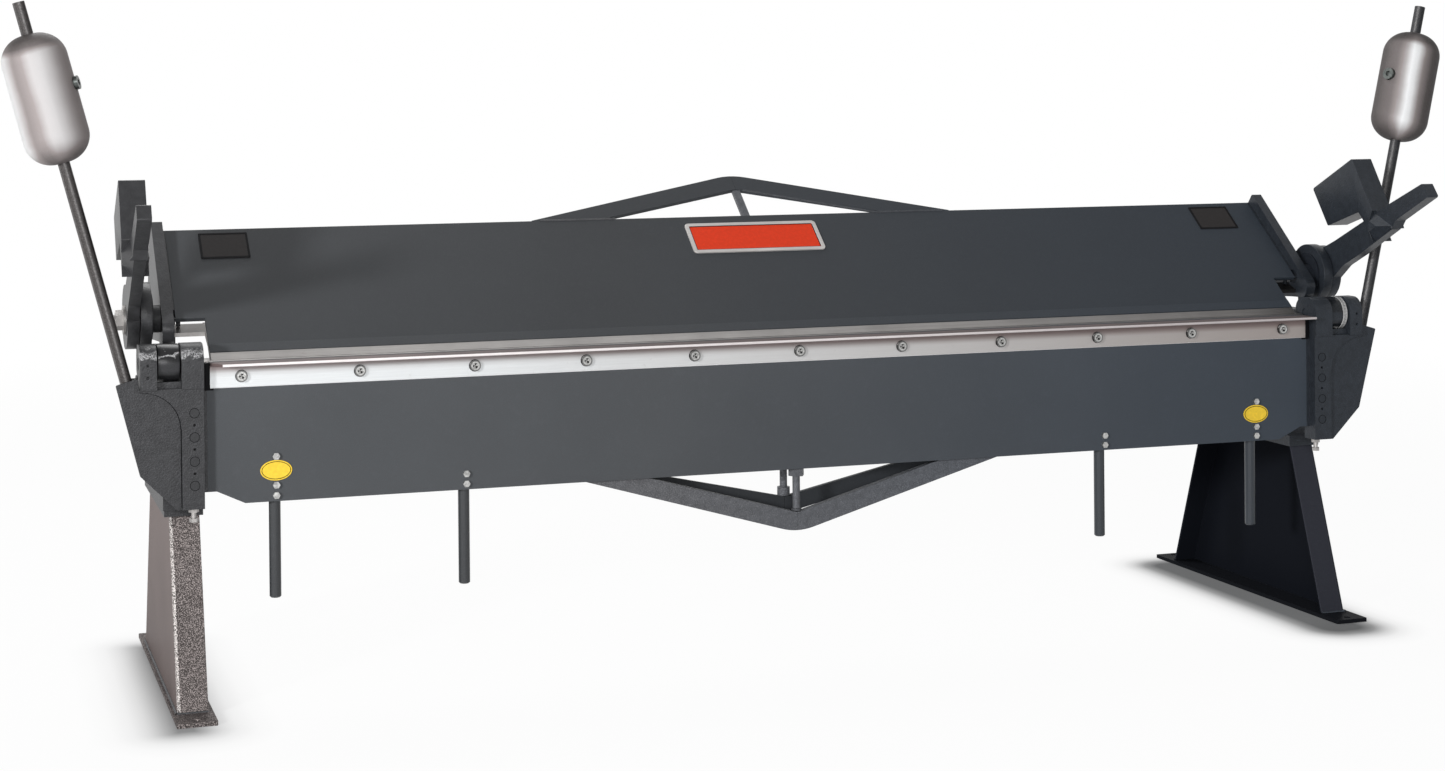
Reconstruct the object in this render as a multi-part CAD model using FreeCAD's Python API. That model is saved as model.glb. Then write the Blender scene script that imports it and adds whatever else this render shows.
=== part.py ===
import FreeCAD, Part
import math
import os

# Sheet metal folder, millimetres. X runs along the bend line, Y to the back, Z up.
# Sizes below are taken from the bend line (Y 0, Z 0); the files are moved so that the
# origin is the middle of the whole machine on the floor.

# Main sizes
BEND_HEIGHT = 848.0
SCREW_PITCH, SCREW_COUNT, SCREW_END = 292.1, 11, 76.0
STRIP_HALF = SCREW_PITCH * (SCREW_COUNT - 1) / 2 + SCREW_END
BODY_DEPTH = 386.7
FIT = 0.05
GAP = 0.3
FLOOR_Z = -BEND_HEIGHT

# End frames, hinge castings and their places along X
BOSS_GAP, BOSS_W, KNUCKLE_GAP, CHEEK_GAP = 17.2, 53.3, 4.0, 2.0
BOSS_IN = STRIP_HALF + BOSS_GAP
BOSS_OUT = BOSS_IN + BOSS_W
WALL_T, KNUCKLE_W, EAR_W = 40.0, 50.5, 39.8
WALL_IN = BOSS_OUT + 1.0
WALL_OUT = WALL_IN + WALL_T
KNUCKLE_IN = BOSS_OUT + KNUCKLE_GAP
KNUCKLE_OUT = KNUCKLE_IN + KNUCKLE_W
EAR_IN = KNUCKLE_OUT + KNUCKLE_GAP
EAR_OUT = EAR_IN + EAR_W
LEAF_HALF = BOSS_OUT - 5.0
ARM_GAP, ARM_T = 7.2, 28.8
ARM_IN = LEAF_HALF + ARM_GAP
ARM_OUT = ARM_IN + ARM_T
LINK_OFF, LINK_T = 25.0, 28.6
LINK_IN = ARM_OUT + LINK_OFF
LINK_OUT = LINK_IN + LINK_T
HUB_T = 29.0
HUB_IN = LINK_OUT + CHEEK_GAP
HUB_OUT = HUB_IN + HUB_T
HUB_MID = HUB_IN + HUB_T / 2

# Legs and feet
LEG_W, LEG_T, LEG_BEND_R = 74.2, 9.0, 8.0
LEG_IN = BOSS_IN - GAP
LEG_OUT = LEG_IN + LEG_W
LEG_TOP = -BODY_DEPTH
LEG_FRONT_LOW, LEG_FRONT_TOP = -72.8, 77.0
LEG_BACK_LOW, LEG_BACK_TOP = 720.3, 555.0
LEG_WALL_Y, LEG_CLEAR = 9.5, 10.0
FOOT_T, FOOT_LEDGE_IN, FOOT_LEDGE_OUT = 10.7, 12.1, 10.6
FOOT_TOE, FOOT_HEEL = 90.7, 91.5
FOOT_IN, FOOT_OUT = LEG_IN - FOOT_LEDGE_IN, LEG_OUT + FOOT_LEDGE_OUT
FOOT_FRONT, FOOT_BACK = LEG_FRONT_LOW - FOOT_TOE, LEG_BACK_LOW + FOOT_HEEL
FOOT_HOLE_R, FOOT_HOLE_IN, FOOT_ROUND = 9.0, 24.0, 4.0

# End frames
SEAT_T = 30.0
SEAT_IN, SEAT_OUT = LEG_IN - 8.4, LEG_OUT + 12.4
SEAT_FRONT, SEAT_BACK = LEG_FRONT_TOP - 9.0, LEG_BACK_TOP + 8.0
SEAT_LOW = LEG_TOP + 0.05
SEAT_TOP = SEAT_LOW + SEAT_T
KNUCKLE_R, RING_SEAT_R = 46.5, 44.0
HINGE_R = 16.0
RING_R, RING_W, RING_GAP_Y, RING_GAP_Z = 47.5, KNUCKLE_OUT - WALL_OUT - GAP, 15.0, 32.0
# Outlines of the side wall, the neck under its knuckle and the opening, as (Y, Z)
WALL_LOW = SEAT_TOP - 5.0
WALL_PTS = [(14, WALL_LOW), (SEAT_BACK - 12, WALL_LOW), (503, -90), (475, 0), (20, 0), (0, 8),
            (-14, -36), (-14, -78)]
WALL_ROUNDS = [0, 0, 20, 20, 0, 0, 0, 20]
NECK_PTS = [(0, KNUCKLE_R - 0.5), (95, 0), (95, -60), (20, -70), (-5, 0.5 - KNUCKLE_R)]
OPENING_PTS = [(230, WALL_LOW + 73.65), (470, WALL_LOW + 73.65), (430, -88), (230, -88)]
OPENING_ROUND = 25.0

# Top leaf
LEAF_ANGLE = 39.5
NOSE_Y, NOSE_TOP_Y, NOSE_TOP_Z = 10.2, 26.0, 16.9
NOSE_SLOPE, NOSE_BACK, NOSE_T = 0.40, 178.0, 10.0
NOSE_HALF = STRIP_HALF - 7.4
NOSE_LOW_BACK, NOSE_STEP_Y = 44.0, 78.0
LEAF_T, LEAF_LEN = 12.0, 445.6
NOTCH_X, NOTCH_S = NOSE_HALF + 0.4, 122.0
LEAF_TRUSS_TIP, LEAF_TRUSS_RISE, LEAF_TRUSS_H, LEAF_TRUSS_END = 620.0, 164.4, 53.0, 1.5
LEAF_STRUT_HALF = 11.0
TAB_FRONT, TAB_BACK, LUG_GAP, LUG_W, LUG_T = 130.0, 174.0, 30.0, 60.0, 13.8
NOTCH_STUD_Y, NOTCH_STUD_R, NOTCH_STUD_IN, NOTCH_STUD_TOP = 158.0, 5.7, 17.2, 102.0
NAME_HALF, NAME_H, NAME_DROP, NAME_T, NAME_R = 193.0, 117.0, 30.6, 2.0, 12.0
BLANK_FROM_END, BLANK_HALF, BLANK_H, BLANK_DROP = 147.0, 63.0, 94.0, 16.6
BLANK_T, BLANK_R = 1.5, 3.0
PLATE_OFF = 0.05

# Rear pivots and link pins
REAR_Y, REAR_Z, REAR_R = 430.0, 54.0, 15.0
BLOCK_T, BLOCK_DROP, BLOCK_HALF_LOW, BLOCK_HALF_TOP = 34.0, 212.0, 45.0, 36.0
PIVOT_HEAD_R, PIVOT_HEAD_T, PIVOT_REACH = 24.0, 5.0, 8.0
SPACER_R, WASHER_R, WASHER_T, PIN_NUT, PIN_NUT_T = 30.0, 34.0, 5.0, 46.0, 14.0

# Apron
APRON_HALF = STRIP_HALF + 6.9
APRON_FACE, APRON_T = -20.0, 16.0
APRON_BACK = APRON_FACE + APRON_T
APRON_TOP = -1.1
APRON_LOW = SEAT_TOP + 7.85
APRON_SIDE_LOW = APRON_LOW + 32.3
APRON_CUT_OUT, APRON_CUT_IN = APRON_HALF - 21.8, APRON_HALF - 90.3
ANGLE_LEG, ANGLE_T, ANGLE_CUT, ANGLE_CUT_FROM = 63.5, 6.35, 26.0, 10.0
ANGLE_EDGE_R, ANGLE_ROOT_R = 2.5, 5.0
SCREW_Z = APRON_TOP - 35.6
SCREW_HEAD_R, SCREW_HEAD_H, SCREW_R, SCREW_HEX = 14.0, 8.0, 6.0, 13.0
SCREW_HEX_DEEP, SCREW_GRIP = 5.0, 14.0

# Bed
BED_BAR_HALF, BED_BAR_FRONT, BED_BAR_BACK, BED_BAR_T = BOSS_IN - 4.7, 1.5, 72.0, 30.0
BED_WEB_HALF, BED_WEB_Y, BED_WEB_T = WALL_IN - 0.5, 30.0, 16.0
BED_LOW = APRON_LOW + 0.8
BED_TRUSS_Y, BED_TRUSS_T, BED_TRUSS_H = 92.0, 16.0, 46.0
BED_TRUSS_TIP, BED_TRUSS_DROP, BED_TRUSS_BEND_R = 420.0, 92.0, 120.0
BED_TRUSS_FLAT, BED_FOOT_GAP = 150.0, 3.8
BED_NOTCH_DROP, BED_RAIL_BACK, BED_RAIL_T = 72.0, 120.0, 14.0
BED_CORNER_IN, BED_CORNER_UP = 207.5, 48.0
BED_RIB_PITCH, BED_RIB_SIDE, BED_RIB_T = 550.0, 2, 10.0
BED_RIB_PTS = [(BED_WEB_Y + BED_WEB_T - 1, BED_LOW + 5), (BED_RAIL_BACK - 2, BED_LOW + 5),
               (BED_WEB_Y + BED_WEB_T + 14, -48), (BED_WEB_Y + BED_WEB_T - 1, -48)]
BED_COLLAR_R, BED_COLLAR_H, BED_SCREW_R, BED_NUT, BED_NUT_H = 17.0, 22.0, 10.0, 34.0, 18.0

# Lift handles under the apron, as distances from the strip's end and the apron's low edge
LIFT_X = (STRIP_HALF - 159.3, STRIP_HALF - 636.8)
LIFT_R, LIFT_DROP = 14.5, 241.4
LIFT_LOW, LIFT_Y = APRON_LOW - LIFT_DROP, APRON_BACK + LIFT_R + GAP
LIFT_SCREW_Z = (APRON_LOW + 15.0, APRON_LOW + 40.3)
LIFT_TOP_SCREW_Z = APRON_LOW + 111.0
LIFT_TOP, LIFT_CHAMFER = (APRON_LOW + 145.8, APRON_LOW + 70.8), 3.0
LIFT_SCREW_R, LIFT_SCREW_HEX, LIFT_SCREW_HEAD, LIFT_SCREW_GRIP = 5.0, 16.0, 7.0, 14.0
TAG_UP, TAG_W, TAG_H, TAG_T = 76.3, 78.0, 50.0, 2.0

# Apron truss
TRUSS_TIP, TRUSS_T, TRUSS_H, TRUSS_DROP = 600.0, 20.0, 48.0, 165.2
TRUSS_Y = APRON_BACK + 0.2
TRUSS_BEND_R, TRUSS_END = 160.0, 8.0
TRUSS_PEAK_LOW = APRON_LOW - TRUSS_DROP
TRUSS_SLOPE = TRUSS_DROP / (TRUSS_TIP - TRUSS_END)
TRUSS_LAP, TRUSS_FLAT, TRUSS_FOOT_GAP = 34.0, 40.0, 2.85
TRUSS_NUT, TRUSS_NUT_H, TRUSS_HEEL_HALF, TRUSS_HEEL_D = 38.0, 19.0, 24.0, 20.0

# Apron hinge castings
EAR_R, EAR_FRONT, EAR_FRONT_R, EAR_CUT = 47.0, -54.4, 40.0, 30.0
CAST_FRONT, CAST_BACK = -46.5, 6.0
CAST_LOW = SEAT_TOP + 4.25
EAR_LOW, BRIDGE_TOP = -59.3, -42.0
CURVE_LOW, CURVE_STEPS = -156.5, 8
EAR_HOLE_IN, EAR_HOLE_DZ, EAR_HOLE_R, EAR_HOLE_DEEP = 22.0, (-29.0, 1.0), 3.5, 8.0
BOLT_X = BOSS_IN + 23.3
BOLT_TOP_Z, BOLT_LOW_Z, BOLT_COUNT = -119.0, CAST_LOW + 57.4, 4
BOLT_STEP = (BOLT_TOP_Z - BOLT_LOW_Z) / (BOLT_COUNT - 1)
BOLT_Z = [BOLT_TOP_Z - i * BOLT_STEP for i in range(BOLT_COUNT)]
SET_Z = [z - BOLT_STEP / 2 for z in BOLT_Z[:-1]]
BOLT_R, BOLT_HEAD_R, BOLT_HEAD_H, BOLT_LEN = 7.0, 11.0, 10.0, 36.0
SET_R, SET_LEN, SET_HEX, SET_SUNK = 3.5, 20.0, 3.5, 7.0
ADJUST_Y, ADJUST_R, ADJUST_DROP, ADJUST_LEN = -12.5, 6.0, 35.6, 70.0
ADJUST_NUT, ADJUST_NUT_H, ADJUST_HEAD, ADJUST_HEAD_H = 22.0, 11.5, 19.0, 9.0
PLATE_FRONT, PLATE_T = -36.8, 10.0
# Weight bracket outline beyond the hinge boss, as (X, Z), and its corner rounding
BRACKET_PTS = [(BOSS_OUT + 11.3, CAST_LOW - 2.4), (EAR_OUT + 0.6, CAST_LOW + 85.1),
               (EAR_OUT + 56.5, -46.5), (EAR_OUT + 3.7, -31)]
BRACKET_LOW, BRACKET_ROUNDS = CAST_LOW + 0.4, [0, 4, 6, 4, 4, 0, 0, 0, 0]

# Counterweight rods and weights
ROD_R, ROD_LOW_Z = 14.5, -158.0
ROD_X0, ROD_Z0, ROD_OUT, ROD_Y0, ROD_BACK = EAR_OUT + 28.1, -48.0, 0.2613, -6.2, 0.05
WEIGHT_R, WEIGHT_LOW_Z, WEIGHT_LEN, WEIGHT_ROUND = 79.0, 489.0, 309.0, 66.0
WEIGHT_TOP_Z = WEIGHT_LOW_Z + WEIGHT_LEN
ROD_TOP_Z = WEIGHT_TOP_Z + 78.0
KNOB_Z, KNOB_R, KNOB_T, KNOB_SUNK = WEIGHT_LOW_Z + 172.0, 17.0, 15.0, 6.0
KNOB_HEX, KNOB_HEX_DEEP, KNOB_STUD_R, KNOB_X, KNOB_Y = 14.0, 7.0, 8.0, -0.956, -0.292

# Clamp handles, eccentrics and links
ECC_Y, ECC_Z, ECC = 150.2, 101.7, 10.0
ECC_ANGLE = 45.0
LINK_R, LINK_BORE = 84.5, 46.0
LINK_LEN, LINK_EYE_R, LINK_PIN_R, LINK_PLAY = 179.7, 40.0, 18.0, 5.5
LINK_PIN_Z = ECC_Z - LINK_LEN
HUB_R, SHAFT_R, COLLAR_R, SHOULDER_R, SHOULDER_T = 80.0, 20.0, 34.0, 60.0, 4.0
STUD_R, STUD_LEN, STUD_NUT, STUD_NUT_T, STUD_WASHER_R, STUD_WASHER_T = 13.0, 28.0, 44.0, 18.0, 36.0, 5.0
HANDLE_TILT, LEFT_TURN = 1.2, 2.5
GRIP_W, BLOCK_W, BLOCK_OFF = 34.0, 63.5, 6.0
BLOCK_IN = HUB_MID + BLOCK_OFF - BLOCK_W / 2
BLOCK_OUT = BLOCK_IN + BLOCK_W
# Clamp handle outlines as (Y, Z) from the hub's middle, with the rounding of each corner
BAR_PTS = [(-10, 67), (-90, 100), (-300, 198), (-351, 146), (-205, 68), (-128, 31),
           (-55, -27), (-40, -45), (35, 30)]
BAR_ROUNDS = [0, 0, 0, 0, 0, 60, 40, 0, 0]
GRIP_PTS = [(-260, 181), (-485, 278), (-511, 243), (-371, 172), (-355, 151), (-300, 130)]
GRIP_ROUNDS = [0, 5, 5, 6, 0, 0]
BLOCK_PTS = [(-187, 339), (-1, 247), (-72, 142), (-216, 188), (-249, 153), (-280, 108),
             (-353, 148), (-362, 160), (-278, 196)]
BLOCK_ROUNDS = [6, 6, 6, 8, 0, 0, 0, 0, 10]
FACET_UP, FACET_BACK = 32.0, 34.0

V = FreeCAD.Vector
shapes = {}


def box(x0, x1, y0, y1, z0, z1):
    return Part.makeBox(x1 - x0, y1 - y0, z1 - z0, V(x0, y0, z0))


def cyl(p, d, r, h):
    return Part.makeCylinder(r, h, V(*p), V(*d))


def wire(points, radii=0.0):
    # Closed outline in a plane, with corners rounded to the given radii.
    n = len(points)
    pts = [V(*p) for p in points]
    rad = list(radii) if isinstance(radii, (list, tuple)) else [radii] * n
    edges, ends = [], []
    for i in range(n):
        p, a, b = pts[i], pts[i - 1], pts[(i + 1) % n]
        u, w = (a - p), (b - p)
        lu, lw = u.Length, w.Length
        u.normalize()
        w.normalize()
        if rad[i] > 0:
            half = math.acos(max(-1.0, min(1.0, u.dot(w)))) / 2.0
            t = min(rad[i] / math.tan(half), lu * 0.49, lw * 0.49)
            r = t * math.tan(half)
            m = u + w
            m.normalize()
            c = p + m * (r / math.sin(half))
            ends.append((p + u * t, c - m * r, p + w * t))
        else:
            ends.append((p, None, p))
    for i in range(n):
        s, mid, e = ends[i]
        if mid is not None:
            edges.append(Part.Arc(s, mid, e).toShape())
        nxt = ends[(i + 1) % n][0]
        if (nxt - e).Length > 1e-6:
            edges.append(Part.makeLine(e, nxt))
    return Part.Wire(edges)


def yz(points, x0, x1, radii=0.0):
    face = Part.Face(wire([(x0, y, z) for y, z in points], radii))
    return face.extrude(V(x1 - x0, 0, 0))


def xz(points, y0, y1, radii=0.0):
    face = Part.Face(wire([(x, y0, z) for x, z in points], radii))
    return face.extrude(V(0, y1 - y0, 0))


def xy(points, z0, z1, radii=0.0):
    face = Part.Face(wire([(x, y, z0) for x, y in points], radii))
    return face.extrude(V(0, 0, z1 - z0))


def hexagon(p, d, across, h):
    r = across / math.sqrt(3.0)
    d = V(*d)
    rot = FreeCAD.Rotation(V(0, 0, 1), d)
    pts = [V(r * math.cos(math.radians(60 * k)), r * math.sin(math.radians(60 * k)), 0)
           for k in range(6)]
    pts = [rot.multVec(q) + V(*p) for q in pts]
    return Part.Face(Part.makePolygon(pts + [pts[0]])).extrude(d * h)


def fuse(*items):
    out = items[0]
    for s in items[1:]:
        out = out.fuse(s)
    return out.removeSplitter()


def cut(base, *tools):
    for t in tools:
        base = base.cut(t)
    return base


def flip(s):
    return s.mirror(V(0, 0, 0), V(1, 0, 0))


def right_half(s):
    # What lies to the right of the middle, half a gap away from it.
    b = s.BoundBox
    return s.cut(box(b.XMin - 1, GAP / 2, b.YMin - 1, b.YMax + 1, b.ZMin - 1, b.ZMax + 1))


def add(name, *solids):
    shapes[name] = list(solids)


def both(name, *solids):
    add("right_" + name, *solids)
    add("left_" + name, *[flip(s) for s in solids])


# Feet
def foot():
    pts = [(FOOT_IN, FOOT_FRONT), (FOOT_OUT, FOOT_FRONT), (FOOT_OUT, FOOT_BACK),
           (FOOT_IN, FOOT_BACK)]
    s = xy(pts, FLOOR_Z, FLOOR_Z + FOOT_T, FOOT_ROUND)
    xc = (FOOT_IN + FOOT_OUT) / 2
    for y in (FOOT_FRONT + FOOT_HOLE_IN, FOOT_BACK - FOOT_HOLE_IN):
        s = s.cut(cyl((xc, y, FLOOR_Z - 1), (0, 0, 1), FOOT_HOLE_R, FOOT_T + 2))
    return s


both("foot_plate", foot())


# Legs, tapered channels open to the inside
def leg():
    lo = FLOOR_Z + FOOT_T
    outer = [(LEG_FRONT_LOW, lo), (LEG_BACK_LOW, lo), (LEG_BACK_TOP, LEG_TOP),
             (LEG_FRONT_TOP, LEG_TOP)]
    s = yz(outer, LEG_IN, LEG_OUT)
    far = (LEG_TOP + LEG_CLEAR, lo - LEG_CLEAR)
    front = (LEG_FRONT_TOP - LEG_FRONT_LOW) / (LEG_TOP - lo) * LEG_CLEAR
    rear = (LEG_BACK_LOW - LEG_BACK_TOP) / (LEG_TOP - lo) * LEG_CLEAR
    inner = [(LEG_FRONT_LOW - front + LEG_WALL_Y, far[1]), (LEG_BACK_LOW + rear - LEG_WALL_Y, far[1]),
             (LEG_BACK_TOP - rear - LEG_WALL_Y, far[0]), (LEG_FRONT_TOP + front + LEG_WALL_Y, far[0])]
    s = s.cut(yz(inner, LEG_IN - 1, LEG_OUT - LEG_T))
    tall = (LEG_TOP - lo) / 2
    corners = [e for e in s.Edges if e.BoundBox.XMin > LEG_OUT - 0.1 and e.BoundBox.ZLength > tall]
    return s.makeFillet(LEG_BEND_R, corners)


both("leg", leg())


# End frames: seat on the leg, side wall and hinge knuckle
def end_frame(with_ring):
    seat = box(SEAT_IN, SEAT_OUT, SEAT_FRONT, SEAT_BACK, SEAT_LOW, SEAT_TOP)
    wall = yz(WALL_PTS, WALL_IN, WALL_OUT, WALL_ROUNDS)
    knuckle = cyl((KNUCKLE_IN, 0, 0), (1, 0, 0), KNUCKLE_R, KNUCKLE_W)
    if with_ring:
        seat_x = KNUCKLE_OUT - RING_W - GAP
        ring_seat = cyl((seat_x, 0, 0), (1, 0, 0), KNUCKLE_R + 1, RING_W + 1)
        knuckle = knuckle.cut(ring_seat.cut(cyl((seat_x, 0, 0), (1, 0, 0), RING_SEAT_R, RING_W + 1)))
    neck = yz(NECK_PTS, KNUCKLE_IN, WALL_OUT - 2 * GAP)
    s = fuse(seat, wall, knuckle, neck)
    s = s.cut(cyl((WALL_IN - 5, 0, 0), (1, 0, 0), HINGE_R + FIT, KNUCKLE_OUT - WALL_IN + 10))
    s = s.cut(cyl((WALL_IN - 5, ECC_Y, LINK_PIN_Z), (1, 0, 0), LINK_PIN_R + FIT, WALL_T + 10))
    # Lightening opening in the wall
    return s.cut(yz(OPENING_PTS, WALL_IN - 1, WALL_OUT + 1, OPENING_ROUND))


add("right_end_frame", end_frame(True))
add("left_end_frame", flip(end_frame(False)))


def hinge_pin():
    return cyl((BOSS_IN + 2, 0, 0), (1, 0, 0), HINGE_R, EAR_OUT - BOSS_IN - 4)


both("hinge_pin", hinge_pin())

ring = cyl((KNUCKLE_OUT - RING_W, 0, 0), (1, 0, 0), RING_R, RING_W)
ring = ring.cut(cyl((KNUCKLE_OUT - RING_W - 1, 0, 0), (1, 0, 0), RING_SEAT_R + FIT, RING_W + 2))
ring = ring.cut(box(KNUCKLE_OUT - RING_W - 1, KNUCKLE_OUT + 1, RING_GAP_Y, RING_R + 1, -RING_R - 1,
                    RING_GAP_Z))
add("bend_scale_ring", ring)


def pivot_block():
    x1 = WALL_IN - 0.2
    x0 = x1 - BLOCK_T
    top, low = REAR_Z + BLOCK_HALF_TOP, REAR_Z - BLOCK_DROP
    s = yz([(REAR_Y - BLOCK_HALF_LOW, low), (REAR_Y + BLOCK_HALF_LOW, low),
            (REAR_Y + BLOCK_HALF_TOP, top), (REAR_Y - BLOCK_HALF_TOP, top)],
           x0, x1, [10, 10, BLOCK_HALF_TOP - 2, BLOCK_HALF_TOP - 2])
    return s.cut(cyl((x0 - 1, REAR_Y, REAR_Z), (1, 0, 0), REAR_R + FIT, BLOCK_T + 2))


both("pivot_block", pivot_block())


def link_pin():
    y, z = ECC_Y, LINK_PIN_Z
    s = fuse(cyl((WALL_IN + 4, y, z), (1, 0, 0), LINK_PIN_R, LINK_OUT + 1 - WALL_IN),
             cyl((WALL_OUT + 0.2, y, z), (1, 0, 0), SPACER_R, LINK_IN - WALL_OUT - 0.7),
             cyl((LINK_OUT + 0.5, y, z), (1, 0, 0), WASHER_R, WASHER_T),
             hexagon((LINK_OUT + 0.5 + WASHER_T, y, z), (1, 0, 0), PIN_NUT, PIN_NUT_T))
    return s


both("link_pin", link_pin())

# Bed: web with raised lower corners, rail, ribs and top bar
corner_x = BED_WEB_HALF - BED_CORNER_IN
pts = [(corner_x, BED_LOW), (corner_x + BED_CORNER_UP, BED_LOW + BED_CORNER_UP),
       (BED_WEB_HALF, BED_LOW + BED_CORNER_UP), (BED_WEB_HALF, -GAP - BED_BAR_T)]
pts += [(-x, z) for x, z in reversed(pts)]
web = xz(pts, BED_WEB_Y, BED_WEB_Y + BED_WEB_T)
notch = box(BED_BAR_HALF, BED_WEB_HALF + 1, BED_WEB_Y - 1, BED_WEB_Y + BED_WEB_T + 1,
            -BED_NOTCH_DROP, 0)
web = cut(web, notch, flip(notch))
rail = box(-corner_x, corner_x, BED_WEB_Y + BED_WEB_T - 1, BED_RAIL_BACK, BED_LOW,
           BED_LOW + BED_RAIL_T)
for i in range(-BED_RIB_SIDE, BED_RIB_SIDE + 1):
    x = i * BED_RIB_PITCH
    rail = rail.fuse(yz(BED_RIB_PTS, x - BED_RIB_T / 2, x + BED_RIB_T / 2))
add("bed_web", fuse(web, rail))
add("bed_bar", box(-BED_BAR_HALF, BED_BAR_HALF, BED_BAR_FRONT, BED_BAR_BACK, -BED_BAR_T, 0))

BED_TRUSS_TOP = BED_LOW - 0.2
BED_TRUSS_PEAK = BED_TRUSS_TOP - BED_TRUSS_DROP


def bed_truss_arm():
    top, low = BED_TRUSS_TOP, BED_TRUSS_PEAK
    tip, end = BED_TRUSS_TIP, BED_TRUSS_TIP + BED_TRUSS_FLAT
    pts = [(0, low), (tip, top), (end, top), (0, low - BED_TRUSS_H), (-end, top), (-tip, top)]
    return right_half(xz(pts, BED_TRUSS_Y, BED_TRUSS_Y + BED_TRUSS_T,
                         [20, 0, 0, BED_TRUSS_BEND_R, 0, 0]))


both("bed_truss_arm", bed_truss_arm())
yc = BED_TRUSS_Y + BED_TRUSS_T / 2
foot_z = BED_TRUSS_PEAK + BED_FOOT_GAP
collar = cyl((0, yc, foot_z), (0, 0, 1), BED_COLLAR_R, BED_COLLAR_H)
rod = cyl((0, yc, foot_z), (0, 0, 1), BED_SCREW_R, BED_TRUSS_TOP - foot_z)
nut = hexagon((0, yc, BED_TRUSS_TOP - BED_NUT_H - 0.2), (0, 0, 1), BED_NUT, BED_NUT_H)
add("bed_truss_screw", fuse(collar, rod, nut))

# Apron
pts = [(-APRON_HALF, APRON_SIDE_LOW), (-APRON_CUT_OUT, APRON_SIDE_LOW),
       (-APRON_CUT_IN, APRON_LOW), (APRON_CUT_IN, APRON_LOW), (APRON_CUT_OUT, APRON_SIDE_LOW),
       (APRON_HALF, APRON_SIDE_LOW), (APRON_HALF, APRON_TOP), (-APRON_HALF, APRON_TOP)]
apron = xz(pts, APRON_FACE, APRON_FACE + APRON_T)
corner = box(STRIP_HALF + 1, APRON_HALF + 1, APRON_FACE - 1, APRON_BACK + 1,
             APRON_TOP - ANGLE_LEG, APRON_TOP + 1)
apron = cut(apron, corner, flip(corner))
screw_x = [(i - (SCREW_COUNT - 1) / 2) * SCREW_PITCH for i in range(SCREW_COUNT)]
for x in screw_x:
    apron = apron.cut(cyl((x, APRON_FACE - 1, SCREW_Z), (0, 1, 0), SCREW_R + FIT, SCREW_GRIP + 1))
lift_holes = []
for sx in (-1, 1):
    for i, x in enumerate(LIFT_X):
        zs = LIFT_SCREW_Z + ((LIFT_TOP_SCREW_Z,) if i == 0 else ())
        lift_holes += [(sx * x, z) for z in zs]
for x, z in lift_holes:
    apron = apron.cut(cyl((x, APRON_FACE - 1, z), (0, 1, 0), LIFT_SCREW_R + FIT, APRON_T + 2))
add("apron_plate", apron)

# Stiffening angle on the apron, and its socket screws
y1 = APRON_FACE
z0 = APRON_TOP - ANGLE_LEG
angle = yz([(y1, z0), (y1, APRON_TOP), (y1 - ANGLE_LEG, APRON_TOP),
            (y1 - ANGLE_LEG, APRON_TOP - ANGLE_T), (y1 - ANGLE_T, APRON_TOP - ANGLE_T),
            (y1 - ANGLE_T, z0)], -STRIP_HALF, STRIP_HALF,
           [0, 0, 0, ANGLE_EDGE_R, ANGLE_ROOT_R, ANGLE_EDGE_R])
wedge = xy([(STRIP_HALF + 1, y1 - ANGLE_CUT_FROM), (STRIP_HALF + 1, y1 - ANGLE_LEG - 1),
            (STRIP_HALF - ANGLE_CUT, y1 - ANGLE_LEG - 1)], z0, APRON_TOP + 1)
angle = angle.cut(flip(wedge))
screws = []
for x in screw_x:
    angle = angle.cut(cyl((x, y1 - ANGLE_T - 1, SCREW_Z), (0, 1, 0), SCREW_R + FIT, ANGLE_T + 2))
    head = cyl((x, y1 - ANGLE_T - SCREW_HEAD_H, SCREW_Z), (0, 1, 0), SCREW_HEAD_R, SCREW_HEAD_H)
    s = head.fuse(cyl((x, y1 - ANGLE_T - 1, SCREW_Z), (0, 1, 0), SCREW_R, ANGLE_T + SCREW_GRIP))
    s = s.cut(hexagon((x, y1 - ANGLE_T - SCREW_HEAD_H - 0.5, SCREW_Z), (0, 1, 0), SCREW_HEX,
                      SCREW_HEX_DEEP + 0.5))
    screws.append(s)
add("apron_angle", angle)
add("apron_angle_screws", *screws)

# Lift handles, hung behind the apron
for sx, side in ((-1, "left"), (1, "right")):
    for i, where in enumerate(("outer", "inner")):
        x = sx * LIFT_X[i]
        top = LIFT_TOP[i]
        rod = cyl((x, LIFT_Y, LIFT_LOW + LIFT_CHAMFER), (0, 0, 1), LIFT_R,
                  top - LIFT_LOW - LIFT_CHAMFER)
        tip = Part.makeCone(LIFT_R - LIFT_CHAMFER, LIFT_R, LIFT_CHAMFER, V(x, LIFT_Y, LIFT_LOW),
                            V(0, 0, 1))
        s = rod.fuse(tip)
        zs = [z for hx, z in lift_holes if abs(hx - x) < 1]
        for z in zs:
            s = s.cut(cyl((x, APRON_BACK - 1, z), (0, 1, 0), LIFT_SCREW_R + FIT,
                          LIFT_SCREW_GRIP + 8))
        add("%s_%s_lift_handle" % (side, where), s)
screws = []
for x, z in lift_holes:
    head = hexagon((x, APRON_FACE - LIFT_SCREW_HEAD, z), (0, 1, 0), LIFT_SCREW_HEX, LIFT_SCREW_HEAD)
    screws.append(head.fuse(cyl((x, APRON_FACE - 1, z), (0, 1, 0), LIFT_SCREW_R,
                                APRON_T + LIFT_SCREW_GRIP + 1)))
add("lift_handle_screws", *screws)


def tag(x):
    e = Part.Ellipse(V(0, 0, 0), TAG_W / 2, TAG_H / 2).toShape()
    f = Part.Face(Part.Wire([e])).extrude(V(0, 0, TAG_T))
    f.rotate(V(0, 0, 0), V(1, 0, 0), 90)
    f.translate(V(x, APRON_FACE, APRON_LOW + TAG_UP))
    return f


add("oval_tags", tag(-LIFT_X[0]), tag(LIFT_X[0]))


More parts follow.
